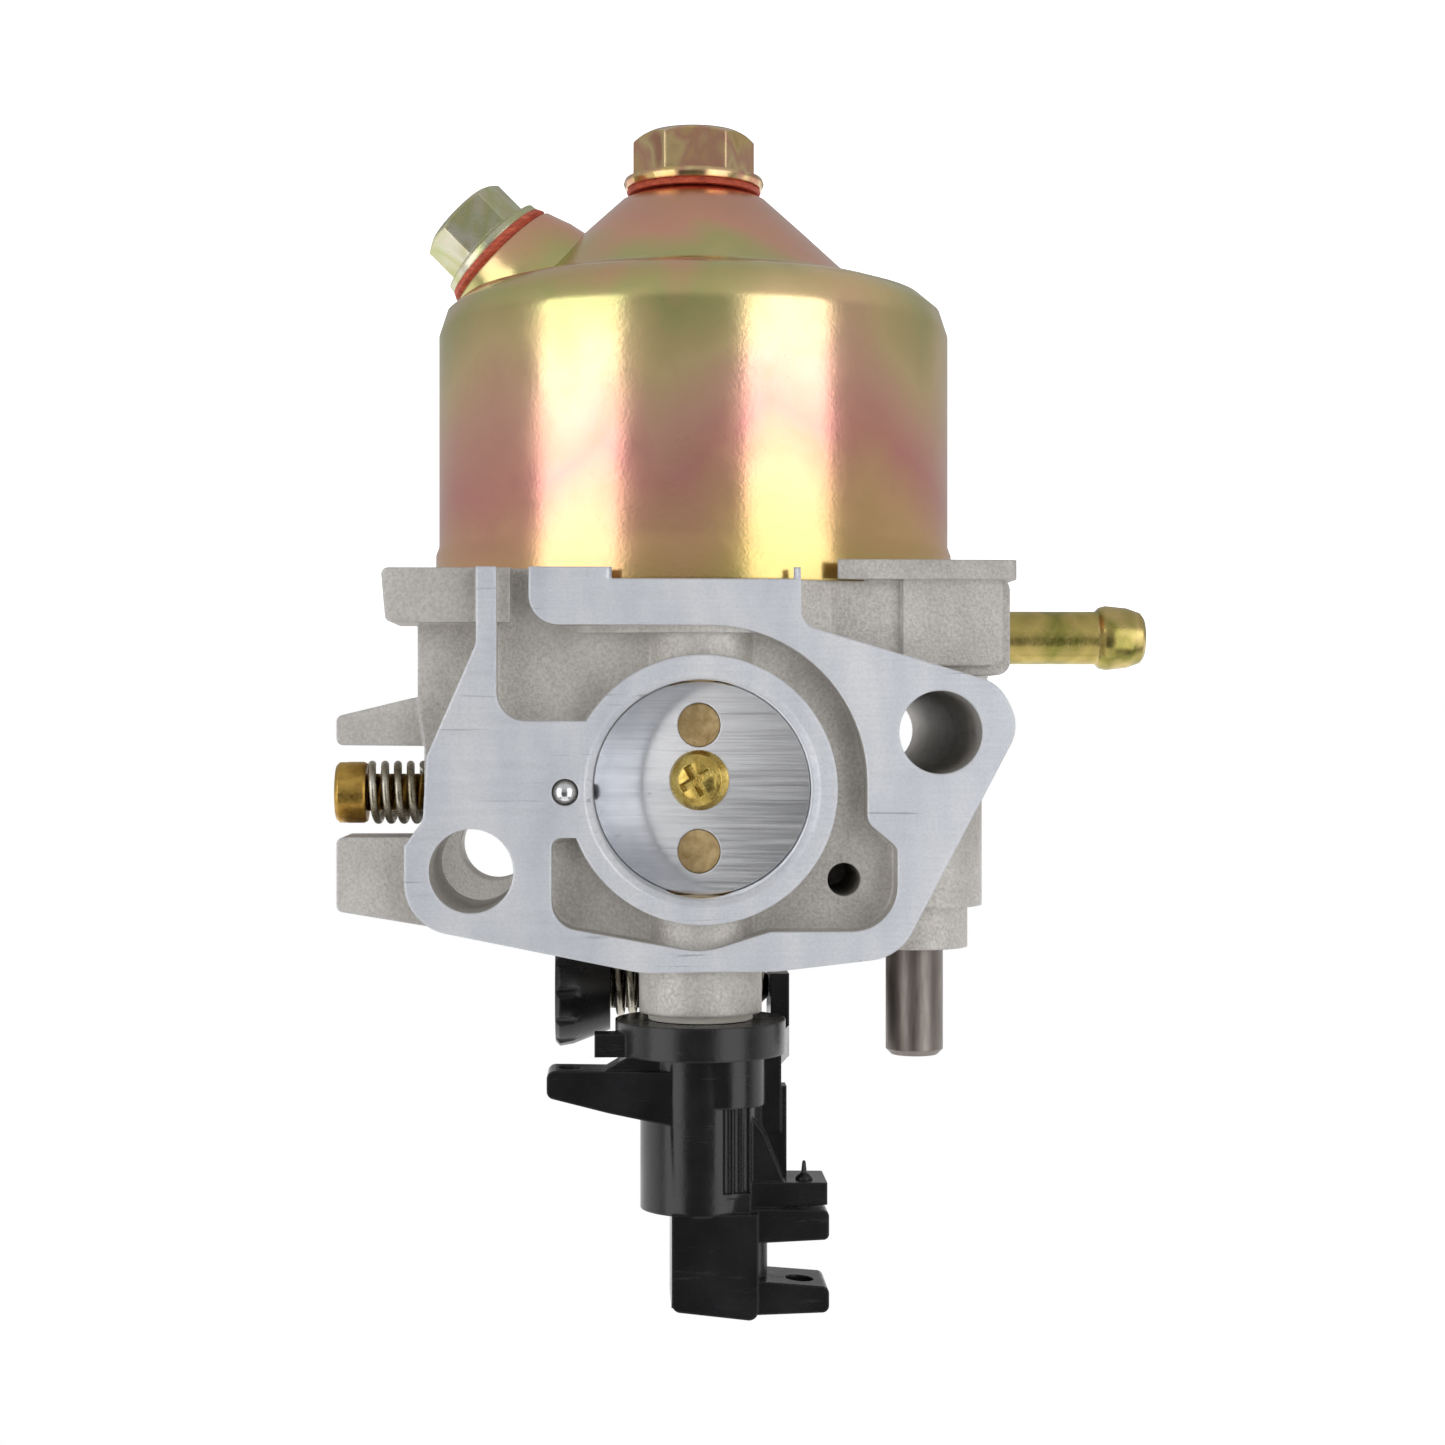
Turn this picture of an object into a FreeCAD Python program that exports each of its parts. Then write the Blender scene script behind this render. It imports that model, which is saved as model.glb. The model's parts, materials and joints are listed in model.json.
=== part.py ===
import FreeCAD, Part
import os
import re
import Sketcher

# Float-bowl carburetor for a small horizontal-shaft engine, in its working position.
# +Z is up with the float bowl below. The air flows along -Y and leaves through the
# engine flange, whose face is the plane Y = 0. The origin is the midpoint of the two
# stud holes on that face. Lengths are millimetres and angles are degrees.

SIZES = {
    # Studs that clamp the carburetor to the engine; they pass through both flanges.
    "stud_circle": 42.0,
    "stud_tilt": 16.4,
    "stud_hole": 7.2,
    # Air passage.
    "bore_x": 0.35,
    "bore_z": -1.0,
    "throttle_bore": 19.0,
    "venturi_bore": 15.0,
    "choke_bore": 24.2,
    "venturi_start": 22.0,
    "venturi_end": 26.9,
    "choke_bore_start": 32.4,
    "body_length": 50.0,
    "passage_wall": 4.3,
    # Engine flange.
    "flange_thick": 8.0,
    "lobe": 5.9,
    "flange_low": -20.1,
    "ring_rim": 2.1,
    "pocket_width": 4.65,
    "pocket_depth": 3.0,
    "rib_x": 18.87,
    "rib_width": 1.75,
    "intake_flange_thick": 6.0,
    "intake_lobe": 7.0,
    "vent_hole": 2.9,
    # Throttle.
    "throttle_y": 6.0,
    "shaft_dia": 6.0,
    "throttle_boss_dia": 10.8,
    "boss_top": 18.6,
    "plate_thick": 1.0,
    "plate_gap": 0.1,
    "plate_tilt": 17.0,
    "pip_dia": 3.8,
    "pip_space": 11.1,
    "plate_screw_dia": 5.3,
    # Choke.
    "choke_y": 37.6,
    "choke_shaft_dia": 5.0,
    "choke_boss_dia": 11.0,
    "choke_boss_top": 16.0,
    "choke_tilt": 12.0,
    # Float bowl and chamber.
    "bowl_y": 24.7,
    "bowl_radius": 24.2,
    "bowl_flare": 0.3,
    "bowl_wall": 0.9,
    "bowl_seat": -19.1,
    "bowl_shoulder": -47.6,
    "bowl_floor": -57.1,
    "bowl_flat": 7.0,
    "bowl_cone": 15.2,
    "gasket_thick": 1.0,
    "gasket_width": 0.9,
    "cap_thick": 4.6,
    "cap_spigot": 2.2,
    "bowl_room": 1.7,
    "post_dia": 11.0,
    "post_end": -50.5,
    "bolt_dia": 6.0,
    "bolt_hex": 10.0,
    "bolt_head": 5.2,
    "bolt_flange": 13.4,
    "washer_thick": 0.6,
    "drain_angle": 45.0,
    "drain_reach": 1.4,
    "drain_level": -32.8,
    "drain_hex": 8.0,
    "drain_thread": 5.0,
    # Float and inlet valve.
    "float_radius": 19.6,
    "float_hole": 9.2,
    "float_top": -25.0,
    "float_deep": 12.5,
    "pin_x": -18.5,
    "pin_z": -25.6,
    "pin_dia": 2.0,
    "needle_x": -13.5,
    "needle_dia": 3.2,
    "seat_dia": 6.0,
    "inlet_z": -14.9,
    "spigot_dia": 5.1,
    "spigot_hole": 3.2,
    "barb_dia": 6.2,
    "spigot_end": 18.7,
    "block_side": 2.4,
    # Adjusting screws.
    "pilot_y": 8.0,
    "pilot_z": -0.6,
    "pilot_thread": 3.3,
    "pilot_head": 5.4,
    "pilot_coil": 5.6,
    "pilot_face": 4.254,
    "pilot_end": 8.0,
    "idle_y": 17.0,
    "idle_z": 17.6,
    "idle_thread": 4.0,
    "idle_knob": 10.9,
    "idle_face": 3.0,
    "coil_wire": 0.7,
    # Vent pipe.
    "vent_x": -19.3,
    "vent_y": 12.0,
    "vent_dia": 5.2,
    "vent_end": 23.3,
    "column_dia": 12.2,
    "column_end": 9.7,
    "vent_boss_dia": 9.6,
    "vent_boss_end": 13.5,
    # Pilot jet.
    "jet_x": 13.2,
    "jet_y": 27.6,
    "jet_dia": 5.0,
    # Fits.
    "running_gap": 0.05,
    "slack": 0.2,
    # Throttle lever.
    "lever_bottom": 19.3,
    "lever_top": 44.8,
    "lever_hub": 5.3,
    "lever_skirt": 7.5,
}

V = FreeCAD.Vector
DOC = FreeCAD.newDocument("Carburetor")
SHEET = DOC.addObject("Spreadsheet::Sheet", "Dimensions")
for row, (alias, default) in enumerate(SIZES.items(), start=1):
    SHEET.set(f"A{row}", alias.replace("_", " "))
    SHEET.set(f"B{row}", str(default))
    SHEET.setAlias(f"B{row}", alias)
DOC.recompute()

STUD_X = "(stud_circle / 2 * cos(stud_tilt * 1deg))"
STUD_Z = "(stud_circle / 2 * sin(stud_tilt * 1deg))"
RING = "(throttle_bore / 2 + ring_rim)"
POCKET = "(throttle_bore / 2 + pocket_width)"
RIM_R = "(bowl_radius + bowl_flare)"
SPIGOT_R = "(bowl_radius + bowl_flare - bowl_wall - slack)"
BOWL_ROOM = "(bowl_radius + bowl_room)"
DRAIN_REACH = "(bowl_radius + drain_reach)"
BLOCK_SIDE = "(0 - bowl_radius - block_side)"
SPIGOT_END = "(0 - bowl_radius - spigot_end)"
PILOT_FACE = f"({STUD_X} + pilot_face)"
PILOT_END = f"({PILOT_FACE} + pilot_end)"
BOSS_BOTTOM = "(bore_z - throttle_bore / 2 - 4.4)"

TURNS = {
    "Z": FreeCAD.Rotation(),
    "-Z": FreeCAD.Rotation(V(1, 0, 0), 180),
    "X": FreeCAD.Rotation(V(0, 1, 0), 90),
    "-X": FreeCAD.Rotation(V(0, 1, 0), -90),
    "Y": FreeCAD.Rotation(V(1, 0, 0), -90),
    "-Y": FreeCAD.Rotation(V(1, 0, 0), 90),
}
NODES = []


def number(text):
    """The present value of an expression in the sheet's sizes."""
    return float(SHEET.evalExpression(str(text)))


def bound(text):
    """The same expression as other objects must write it."""
    return re.sub(r"[a-z][a-z_]*", lambda m: f"Dimensions.{m[0]}" if m[0] in SIZES else m[0], str(text))


def bind(thing, name, text):
    thing.setExpression(name, bound(text))


def place(thing, at, turn="Z"):
    """Stand a thing at a point given by three expressions, its own Z along turn."""
    rotation = TURNS[turn] if isinstance(turn, str) else turn
    thing.Placement = FreeCAD.Placement(V(*(number(value) for value in at)), rotation)
    for letter, value in zip("xyz", at):
        bind(thing, f".Placement.Base.{letter}", value)
    return thing


def rod(name, radius, length, at, turn="Z"):
    thing = DOC.addObject("Part::Cylinder", name)
    bind(thing, "Radius", radius)
    bind(thing, "Height", length)
    return place(thing, at, turn)


def block(name, low, high):
    """A box between two corners, each three expressions."""
    thing = DOC.addObject("Part::Box", name)
    for side, start, end in zip(("Length", "Width", "Height"), low, high):
        bind(thing, side, f"({end}) - ({start})")
    return place(thing, low)


def closed_sketch(body, role, start, corners):
    """A straight-sided outline on one of the body's own planes, each corner two expressions."""
    plane = next(item for item in body.Origin.OriginFeatures if item.Role == role)
    sketch = body.newObject("Sketcher::SketchObject", body.Name + "_sketch")
    sketch.AttachmentSupport = (plane, [""])
    sketch.MapMode = "FlatFace"
    bind(sketch, "AttachmentOffset.Base.z", start)
    points = [V(number(across), number(along), 0) for across, along in corners]
    count = len(points)
    for index in range(count):
        sketch.addGeometry(Part.LineSegment(points[index], points[(index + 1) % count]), False)
    for index in range(count):
        sketch.addConstraint(Sketcher.Constraint("Coincident", index, 2, (index + 1) % count, 1))
    for index, (point, corner) in enumerate(zip(points, corners)):
        for kind, text, value in zip(("DistanceX", "DistanceY"), corner, point):
            item = sketch.addConstraint(Sketcher.Constraint(kind, -1, 1, index, 1, value))
            bind(sketch, f"Constraints[{item}]", text)
    return sketch, points


def turned(name, profile, at=("0", "0", "0"), turn="Z"):
    """A solid of revolution: each profile corner is a radius and a height."""
    body = DOC.addObject("PartDesign::Body", name)
    sketch, _ = closed_sketch(body, "XZ_Plane", "0", profile)
    solid = body.newObject("PartDesign::Revolution", name + "_turn")
    solid.Profile = sketch
    solid.ReferenceAxis = (sketch, ["V_Axis"])
    solid.Angle = 360
    place(body, at, turn)
    return body


def prism(name, plane, corners, start, end, rounds=()):
    """A pad between two levels; rounds gives (radius, corner numbers) for its upright edges."""
    body = DOC.addObject("PartDesign::Body", name)
    backward = plane == "XZ"
    offset = f"-({start})" if backward else start
    sketch, points = closed_sketch(body, plane + "_Plane", offset, corners)
    feature = body.newObject("PartDesign::Pad", name + "_pad")
    feature.Profile = sketch
    bind(feature, "Length", f"({end}) - ({start})")
    feature.Reversed = backward
    sides = {"XY": (0, 1), "XZ": (0, 2), "YZ": (1, 2)}[plane]
    for radius, chosen in rounds:
        DOC.recompute()
        names = []
        for index, edge in enumerate(feature.Shape.Edges, start=1):
            ends = [(vertex.Point[sides[0]], vertex.Point[sides[1]]) for vertex in edge.Vertexes]
            for corner in chosen:
                spot = (points[corner].x, points[corner].y)
                if len(ends) == 2 and all(abs(a - b) < 1e-4 for end in ends for a, b in zip(end, spot)):
                    names.append(f"Edge{index}")
        if len(names) != len(chosen):
            raise RuntimeError(f"{name}: {len(names)} of {len(chosen)} edges to round")
        fillet = body.newObject("PartDesign::Fillet", name + "_round")
        fillet.Base = (feature, names)
        bind(fillet, "Radius", radius)
        feature = fillet
    return body


def fuse(name, things):
    thing = DOC.addObject("Part::MultiFuse", name)
    thing.Shapes = things
    return thing


def cut(name, base, tool):
    thing = DOC.addObject("Part::Cut", name)
    thing.Base = base
    thing.Tool = tool
    return thing


def common(name, first, second):
    thing = DOC.addObject("Part::Common", name)
    thing.Base = first
    thing.Tool = second
    return thing


def coil(name, radius, wire, length, turns, at, turn):
    """A round-wire spring whose outer length is length."""
    middle = f"({radius}) - ({wire}) / 2"
    path = DOC.addObject("Part::Helix", name + "_path")
    bind(path, "Radius", middle)
    bind(path, "Pitch", f"(({length}) - ({wire})) / {turns}")
    bind(path, "Height", f"({length}) - ({wire})")
    path.SegmentLength = 1
    DOC.recompute()
    ring = DOC.addObject("Part::Circle", name + "_wire")
    bind(ring, "Radius", f"({wire}) / 2")
    ring.Placement = FreeCAD.Placement(V(number(middle), 0, 0), FreeCAD.Rotation(V(1, 0, 0), 90))
    bind(ring, ".Placement.Base.x", middle)
    spring = DOC.addObject("Part::Sweep", name)
    spring.Sections = [ring]
    spring.Spine = (path, [f"Edge{index + 1}" for index in range(len(path.Shape.Edges))])
    spring.Solid = True
    spring.Frenet = True
    return place(spring, at, turn)


def hexagon(name, flats, height, at, turn="Z"):
    """A bolt head with a chamfered end."""
    prism_part = DOC.addObject("Part::Prism", name + "_bar")
    prism_part.Polygon = 6
    bind(prism_part, "Circumradius", f"({flats}) / sqrt(3)")
    bind(prism_part, "Height", height)
    dome = turned(name + "_dome", [
        ("0", "0"),
        (f"({flats}) * 0.62", "0"),
        (f"({flats}) * 0.62", f"({height}) - ({flats}) * 0.09"),
        (f"({flats}) * 0.46", height),
        ("0", height),
    ])
    return place(common(name, prism_part, dome), at, turn)


def node(thing, label):
    """Name a finished sub-part."""
    thing.Label = label
    NODES.append(thing)
    return thing


# ---------------------------------------------------------------- casting

def engine_flange():
    """Two-lobed mounting flange with its cast recess round the bore ring."""
    plate = prism("flange_plate", "XZ", [
        ("rib_x + rib_width / 2", "flange_low"),
        ("rib_x + rib_width / 2", "flange_low + 6.6"),
        (f"{STUD_X} + 3.8", f"{STUD_Z} - 9.8"),
        (f"{STUD_X} + 4.1", f"{STUD_Z} - 4.3"),
        (f"{STUD_X} + lobe - 0.2", f"{STUD_Z} - 2.2"),
        (f"{STUD_X} + lobe - 0.2", f"{STUD_Z} + 4.6"),
        ("bore_x + 5.2", "bore_z + 15.7"),
        ("bore_x - 6.3", "bore_z + 15.6"),
        ("bore_x - 16.9", "bore_z + 14.4"),
        (f"-{STUD_X} - lobe - 0.95", f"-{STUD_Z} - 0.5"),
        (f"-{STUD_X} - lobe + 0.8", f"-{STUD_Z} - lobe + 1.7"),
        ("bore_x - 8.5", "flange_low + 4.9"),
        ("bore_x - 8.4", "flange_low"),
    ], "0", "flange_thick", [
        ("4.4", (5, 8)),
        ("3.4", (9, 10)),
        ("1.6", (1, 3, 11)),
        ("9", (6, 7)),
    ])
    pocket = prism("flange_pocket", "XZ", [
        ("rib_x - rib_width / 2", "flange_low - 1"),
        ("rib_x - rib_width / 2", "bore_z - 5.9"),
        ("bore_x + throttle_bore / 4", "bore_z - 5.9"),
        ("bore_x + throttle_bore / 4", "bore_z + 4.1"),
        ("bore_x + 12.95", "bore_z + 4.1"),
        ("bore_x + 12.95", "bore_z + 11.6"),
        ("bore_x", "bore_z + 14"),
        ("bore_x - 5.8", "bore_z + 12.2"),
        ("bore_x - 16.75", "bore_z + 12.2"),
        ("bore_x - 16.75", "bore_z + 5"),
        (f"bore_x - {POCKET}", "bore_z + 2.8"),
        (f"bore_x - {POCKET}", f"bore_z - {POCKET}"),
        ("bore_x + 14.9", f"bore_z - {POCKET}"),
        ("bore_x + 14.9", "flange_low - 1"),
    ], "-1", "pocket_depth", [
        (f"{POCKET} - 0.6", (11,)),
        ("3.9", (8,)),
        ("2.5", (1, 5, 12)),
        ("0.9", (4, 9)),
        ("1.5", (7, 10)),
        ("7", (6,)),
    ])
    ring = rod("flange_ring", RING, "flange_thick + 2", ("bore_x", "-2", "bore_z"), "Y")
    return cut("flange", plate, cut("flange_recess", pocket, ring))


def intake_flange():
    """Air-cleaner flange on the same two studs."""
    return prism("intake_plate", "XZ", [
        (f"{STUD_X} + intake_lobe", f"{STUD_Z} - 5.4"),
        (f"{STUD_X} + intake_lobe", f"{STUD_Z} + 5.6"),
        ("bore_x + 7.5", "bore_z + choke_bore / 2 + 4.2"),
        ("bore_x - 9.5", "bore_z + choke_bore / 2 + 3.4"),
        (f"-{STUD_X} - intake_lobe", f"-{STUD_Z} + 5.4"),
        (f"-{STUD_X} - intake_lobe", f"-{STUD_Z} - 5.6"),
        ("bore_x - 7.5", "bore_z - choke_bore / 2 - 5.2"),
        ("bore_x + 9.5", "bore_z - choke_bore / 2 - 4.6"),
    ], "body_length - intake_flange_thick", "body_length", [
        ("4.8", (0, 1, 4, 5)),
        ("7", (2, 3, 6, 7)),
    ])


def casting_solids():
    bore_start = ("bore_x", "pocket_depth + 1", "bore_z")
    return [
        engine_flange(),
        rod("bore_wall", "throttle_bore / 2 + passage_wall", "body_length - pocket_depth - 5",
            bore_start, "Y"),
        rod("choke_wall", "choke_bore / 2 + passage_wall", "body_length - 30",
            ("bore_x", "29", "bore_z"), "Y"),
        intake_flange(),
        rod("stud_sleeve_left", "stud_hole / 2 + 1.9", "body_length - flange_thick",
            (f"-{STUD_X}", "flange_thick / 2 + 0.7", f"-{STUD_Z}"), "Y"),
        rod("vent_gallery", "vent_hole / 2 + 1.8", "flange_thick + 8",
            ("bore_x - 12.4", "flange_thick / 2 + 1.3", "bore_z + 7.9"), "Y"),
        rod("chamber_cap", RIM_R, "cap_thick",
            ("bore_x", "bowl_y", "bowl_seat")),
        rod("chamber_spigot", SPIGOT_R, "cap_spigot + 1", ("bore_x", "bowl_y", "bowl_seat - cap_spigot")),
        block("cap_web", ("bore_x - 13", "flange_thick - 2", "bowl_seat + 1.5"),
              ("bore_x + 13", "body_length - 3", "bore_z - 3")),
        prism("inlet_block", "XZ", [
            ("bore_x - 8", "flange_low + 0.6"),
            (BLOCK_SIDE, "flange_low + 0.6"),
            (BLOCK_SIDE, "inlet_z + 4"),
            ("bore_x - 8", "inlet_z + 4"),
        ], "3", "bowl_y + 6", [("1.2", (1, 2))]),
        prism("inlet_panel", "XZ", [
            ("bore_x - 17.5", "flange_low + 0.6"),
            (f"{BLOCK_SIDE} + 0.8", "flange_low + 0.6"),
            (f"{BLOCK_SIDE} + 0.8", "inlet_z + 3.2"),
            ("bore_x - 17.5", "inlet_z + 3.2"),
        ], "2.2", "8", [("1", (2, 3))]),
        prism("inlet_lip", "XY", [
            (f"{BLOCK_SIDE} - 0.5", "1.6"),
            ("bore_x - 9", "1.6"),
            ("bore_x - 9", "bowl_y"),
            (f"{BLOCK_SIDE} - 0.5", "bowl_y"),
        ], "flange_low - 0.8", "flange_low + 0.9", [("1", (0,))]),
        rod("inlet_boss", "spigot_dia / 2 + 2", "9", (f"{BLOCK_SIDE} - 1", "bowl_y", "inlet_z"), "X"),
        rod("vent_column", "column_dia / 2", "column_end + 12", ("vent_x", "vent_y", "-12")),
        rod("vent_boss", "vent_boss_dia / 2", "vent_boss_end + 4", ("vent_x", "vent_y", "-4")),
        rod("throttle_boss", "throttle_boss_dia / 2", f"boss_top - {BOSS_BOTTOM}",
            ("bore_x", "throttle_y", BOSS_BOTTOM)),
        rod("choke_boss", "choke_boss_dia / 2", "choke_boss_top + 17", ("bore_x", "choke_y", "-17")),
        prism("pilot_block", "XZ", [
            ("bore_x + 9", "flange_low + 2"),
            (f"{PILOT_FACE} + 0.6", "flange_low + 2"),
            (f"{PILOT_FACE} + 0.6", "pilot_z - 8"),
            (PILOT_FACE, "pilot_z - 4.1"),
            (PILOT_FACE, "pilot_z + 11.6"),
            ("bore_x + 9", "pilot_z + 11.6"),
        ], "pilot_y - 4.2", "pilot_y + 8.2", [("1.5", (1, 4))]),
        prism("upper_ear", "XZ", [
            (f"{PILOT_FACE} - 3", "pilot_z - 8.8"),
            (f"{PILOT_FACE} - 0.2", "pilot_z - 8.6"),
            (f"{PILOT_END} - 0.4", "pilot_z - 6.7"),
            (f"{PILOT_END} - 0.4", "pilot_z - 4.2"),
            (f"{PILOT_FACE} - 3", "pilot_z - 4.1"),
        ], "pilot_y - 4", "pilot_y + 4", [("0.6", (2, 3))]),
        prism("lower_ear", "XZ", [
            (f"{PILOT_FACE} - 3", "pilot_z + 3.8"),
            (f"{PILOT_END} - 0.4", "pilot_z + 3.8"),
            (f"{PILOT_END} - 0.4", "pilot_z + 10.2"),
            (f"{PILOT_FACE} - 3", "pilot_z + 12"),
        ], "pilot_y - 4", "pilot_y + 4", [("0.6", (1, 2))]),
        prism("side_lug", "XZ", [
            ("rib_x - 2", "flange_low"),
            ("rib_x + 9.1", "flange_low"),
            ("rib_x + 8.7", "flange_low + 4.7"),
            ("rib_x - 2", "flange_low + 4.7"),
        ], "1.5", "11.5", [("0.6", (1, 2))]),
        block("idle_lug", ("bore_x - 3.4", "idle_y - 3.2", "bore_z + 8"),
              ("idle_face", "idle_y + 4", "idle_z + 3.4")),
        rod("jet_boss", "jet_dia / 2 + 1.9", "14", ("jet_x", "jet_y", "-1")),
        rod("jet_post", "post_dia / 2", "bowl_seat - post_end", ("bore_x", "bowl_y", "post_end")),
        block("pin_post_front", ("pin_x - 2", "bowl_y - 9", "pin_z - 2"),
              ("pin_x + 2", "bowl_y - 6.4", "bowl_seat")),
        block("pin_post_back", ("pin_x - 2", "bowl_y + 6.4", "pin_z - 2"),
              ("pin_x + 2", "bowl_y + 9", "bowl_seat")),
    ]


def annulus(name, outer, inner, length, at):
    """A ring-shaped tool standing on at."""
    low = (at[0], at[1], f"({at[2]}) - 1")
    whole = rod(name + "_outer", outer, length, at)
    return cut(name, whole, rod(name + "_inner", inner, f"({length}) + 2", low))


def casting_tools():
    passage = turned("air_passage", [
        ("0", "-1"),
        ("throttle_bore / 2 + 0.6", "-1"),
        ("throttle_bore / 2 + 0.6", "0"),
        ("throttle_bore / 2", "0.6"),
        ("throttle_bore / 2", "venturi_start - 4.5"),
        ("venturi_bore / 2", "venturi_start"),
        ("venturi_bore / 2", "venturi_end"),
        ("choke_bore / 2", "choke_bore_start"),
        ("choke_bore / 2", "body_length + 1"),
        ("0", "body_length + 1"),
    ], ("bore_x", "0", "bore_z"), "Y")
    long_hole = "body_length + 2"
    main_well = turned("main_well", [
        ("0", "post_end - 1"),
        ("bolt_dia / 2", "post_end - 1"),
        ("bolt_dia / 2", "post_end + 9.4"),
        ("2.5", "post_end + 9.9"),
        ("2.5", "bore_z - 12"),
        ("1.7", "bore_z - 12"),
        ("1.7", "bore_z"),
        ("0", "bore_z"),
    ], ("bore_x", "bowl_y", "0"))
    return [
        passage,
        rod("stud_hole_right", "stud_hole / 2", long_hole, (STUD_X, "-1", STUD_Z), "Y"),
        rod("stud_hole_left", "stud_hole / 2", long_hole, (f"-{STUD_X}", "-1", f"-{STUD_Z}"), "Y"),
        rod("vent_port", "vent_hole / 2", "flange_thick + 10",
            ("bore_x - 12.4", "-1", "bore_z + 7.9"), "Y"),
        rod("throttle_bearing", "shaft_dia / 2 + running_gap", f"boss_top - {BOSS_BOTTOM}",
            ("bore_x", "throttle_y", f"{BOSS_BOTTOM} + 1")),
        rod("choke_bearing", "choke_shaft_dia / 2 + running_gap", "choke_boss_top + 17",
            ("bore_x", "choke_y", "-16")),
        rod("pilot_hole", "pilot_thread / 2 + running_gap", "20",
            ("bore_x + 12", "pilot_y", "pilot_z"), "X"),
        rod("pilot_port", "0.7", "6", ("bore_x + 7", "pilot_y", "pilot_z"), "X"),
        rod("plug_hole", "1.15", "pilot_y - 2", ("bore_x + 11.8", "-1", "bore_z + 0.2"), "Y"),
        rod("idle_hole", "idle_thread / 2 + running_gap", "20", ("bore_x - 10", "idle_y", "idle_z"), "X"),
        rod("jet_hole", "jet_dia / 2", "14", ("jet_x", "jet_y", "1")),
        main_well,
        rod("inlet_hole", "spigot_dia / 2", "7", (f"{BLOCK_SIDE} - 2", "bowl_y", "inlet_z"), "X"),
        rod("inlet_drilling", "spigot_hole / 2", f"needle_x - {BLOCK_SIDE} + 1",
            (BLOCK_SIDE, "bowl_y", "inlet_z"), "X"),
        rod("seat_hole", "seat_dia / 2", "inlet_z - bowl_seat + cap_spigot - 1.5",
            ("needle_x", "bowl_y", "bowl_seat - cap_spigot - 1")),
        rod("seat_drilling", "1.2", "4", ("needle_x", "bowl_y", "inlet_z - 3.2")),
        rod("pin_hole", "pin_dia / 2", "20", ("pin_x", "bowl_y - 10", "pin_z"), "Y"),
        rod("vent_hole", "vent_dia / 2 + 0.4", "9", ("vent_x", "vent_y", "vent_boss_end - 7")),
        annulus("bowl_clearance", BOWL_ROOM, SPIGOT_R, "6", ("bore_x", "bowl_y", "bowl_seat - 6")),
        annulus("gasket_groove", f"{SPIGOT_R} + gasket_width", SPIGOT_R, "gasket_thick",
                ("bore_x", "bowl_y", "bowl_seat")),
        rod("air_jet_left", "1", "8", ("bore_x - 11", "body_length - 7", "bore_z - 11"), "Y"),
        rod("air_jet_right", "1", "8", ("bore_x + 11", "body_length - 7", "bore_z - 11"), "Y"),
    ]


def carburetor_body():
    solids = fuse("casting_blank", casting_solids())
    node(cut("casting", solids, fuse("casting_cuts", casting_tools())), "carburetor_body")


# ---------------------------------------------------------------- float bowl

DRAIN_TURN = FreeCAD.Rotation(V(0, 1, 0), 180 - number("drain_angle"))
DRAIN_FOOT = ("bore_x", "bowl_y", "drain_level")


def bowl_shape(name, wall):
    """The drawn cup with its slanted drain pad, shrunk on every side by wall."""
    cup = turned(name + "_cup", [
        ("0", f"bowl_seat + 2 * ({wall})"),
        (f"{RIM_R} - ({wall})", f"bowl_seat + 2 * ({wall})"),
        (f"{RIM_R} - ({wall})", "bowl_seat - 3.4"),
        (f"bowl_radius - ({wall})", "bowl_seat - 4.2"),
        (f"bowl_radius - ({wall})", f"bowl_shoulder + 4.4 + ({wall}) * 0.2"),
        (f"bowl_radius - 0.75 - ({wall}) * 0.9", f"bowl_shoulder + 2.1 + ({wall}) * 0.5"),
        (f"bowl_radius - 2.4 - ({wall}) * 0.6", f"bowl_shoulder + 0.7 + ({wall}) * 0.8"),
        (f"bowl_radius - 4.6 - ({wall}) * 0.2", f"bowl_shoulder + ({wall})"),
        (f"bowl_cone + 1 - ({wall}) * 0.2", f"bowl_shoulder - 0.5 + ({wall})"),
        (f"bowl_cone - ({wall}) * 0.6", f"bowl_shoulder - 1.2 + ({wall}) * 0.8"),
        (f"bowl_flat + 3.6 - ({wall}) * 0.7", f"bowl_floor + 4 + ({wall}) * 0.7"),
        (f"bowl_flat - ({wall}) * 0.4", f"bowl_floor + 0.7 + ({wall}) * 0.9"),
        (f"bowl_flat - 1.4", f"bowl_floor + ({wall})"),
        ("0", f"bowl_floor + ({wall})"),
    ], ("bore_x", "bowl_y", "0"))
    pad = turned(name + "_pad", [
        ("0", "0"),
        (f"12.2 - ({wall})", "0"),
        (f"6.9 - ({wall})", f"{DRAIN_REACH} - 2.2 - ({wall}) * 0.6"),
        (f"6.1 - ({wall})", f"{DRAIN_REACH} - ({wall})"),
        ("0", f"{DRAIN_REACH} - ({wall})"),
    ], DRAIN_FOOT, DRAIN_TURN)
    return fuse(name, [cup, pad])


def float_bowl():
    holes = fuse("bowl_holes", [
        bowl_shape("bowl_inside", "bowl_wall"),
        rod("bowl_bolt_hole", "bolt_dia / 2 + slack", "10", ("bore_x", "bowl_y", "bowl_floor - 5")),
        rod("bowl_drain_hole", "drain_thread / 2 + slack", f"{DRAIN_REACH} + 5", DRAIN_FOOT, DRAIN_TURN),
    ])
    node(cut("bowl", bowl_shape("bowl_outside", "0"), holes), "float_bowl")
    ring = turned("gasket", [
        (SPIGOT_R, "bowl_seat"),
        (f"{SPIGOT_R} + gasket_width", "bowl_seat"),
        (f"{SPIGOT_R} + gasket_width", "bowl_seat + gasket_thick"),
        (SPIGOT_R, "bowl_seat + gasket_thick"),
    ], ("bore_x", "bowl_y", "0"))
    node(ring, "bowl_gasket")


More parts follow.
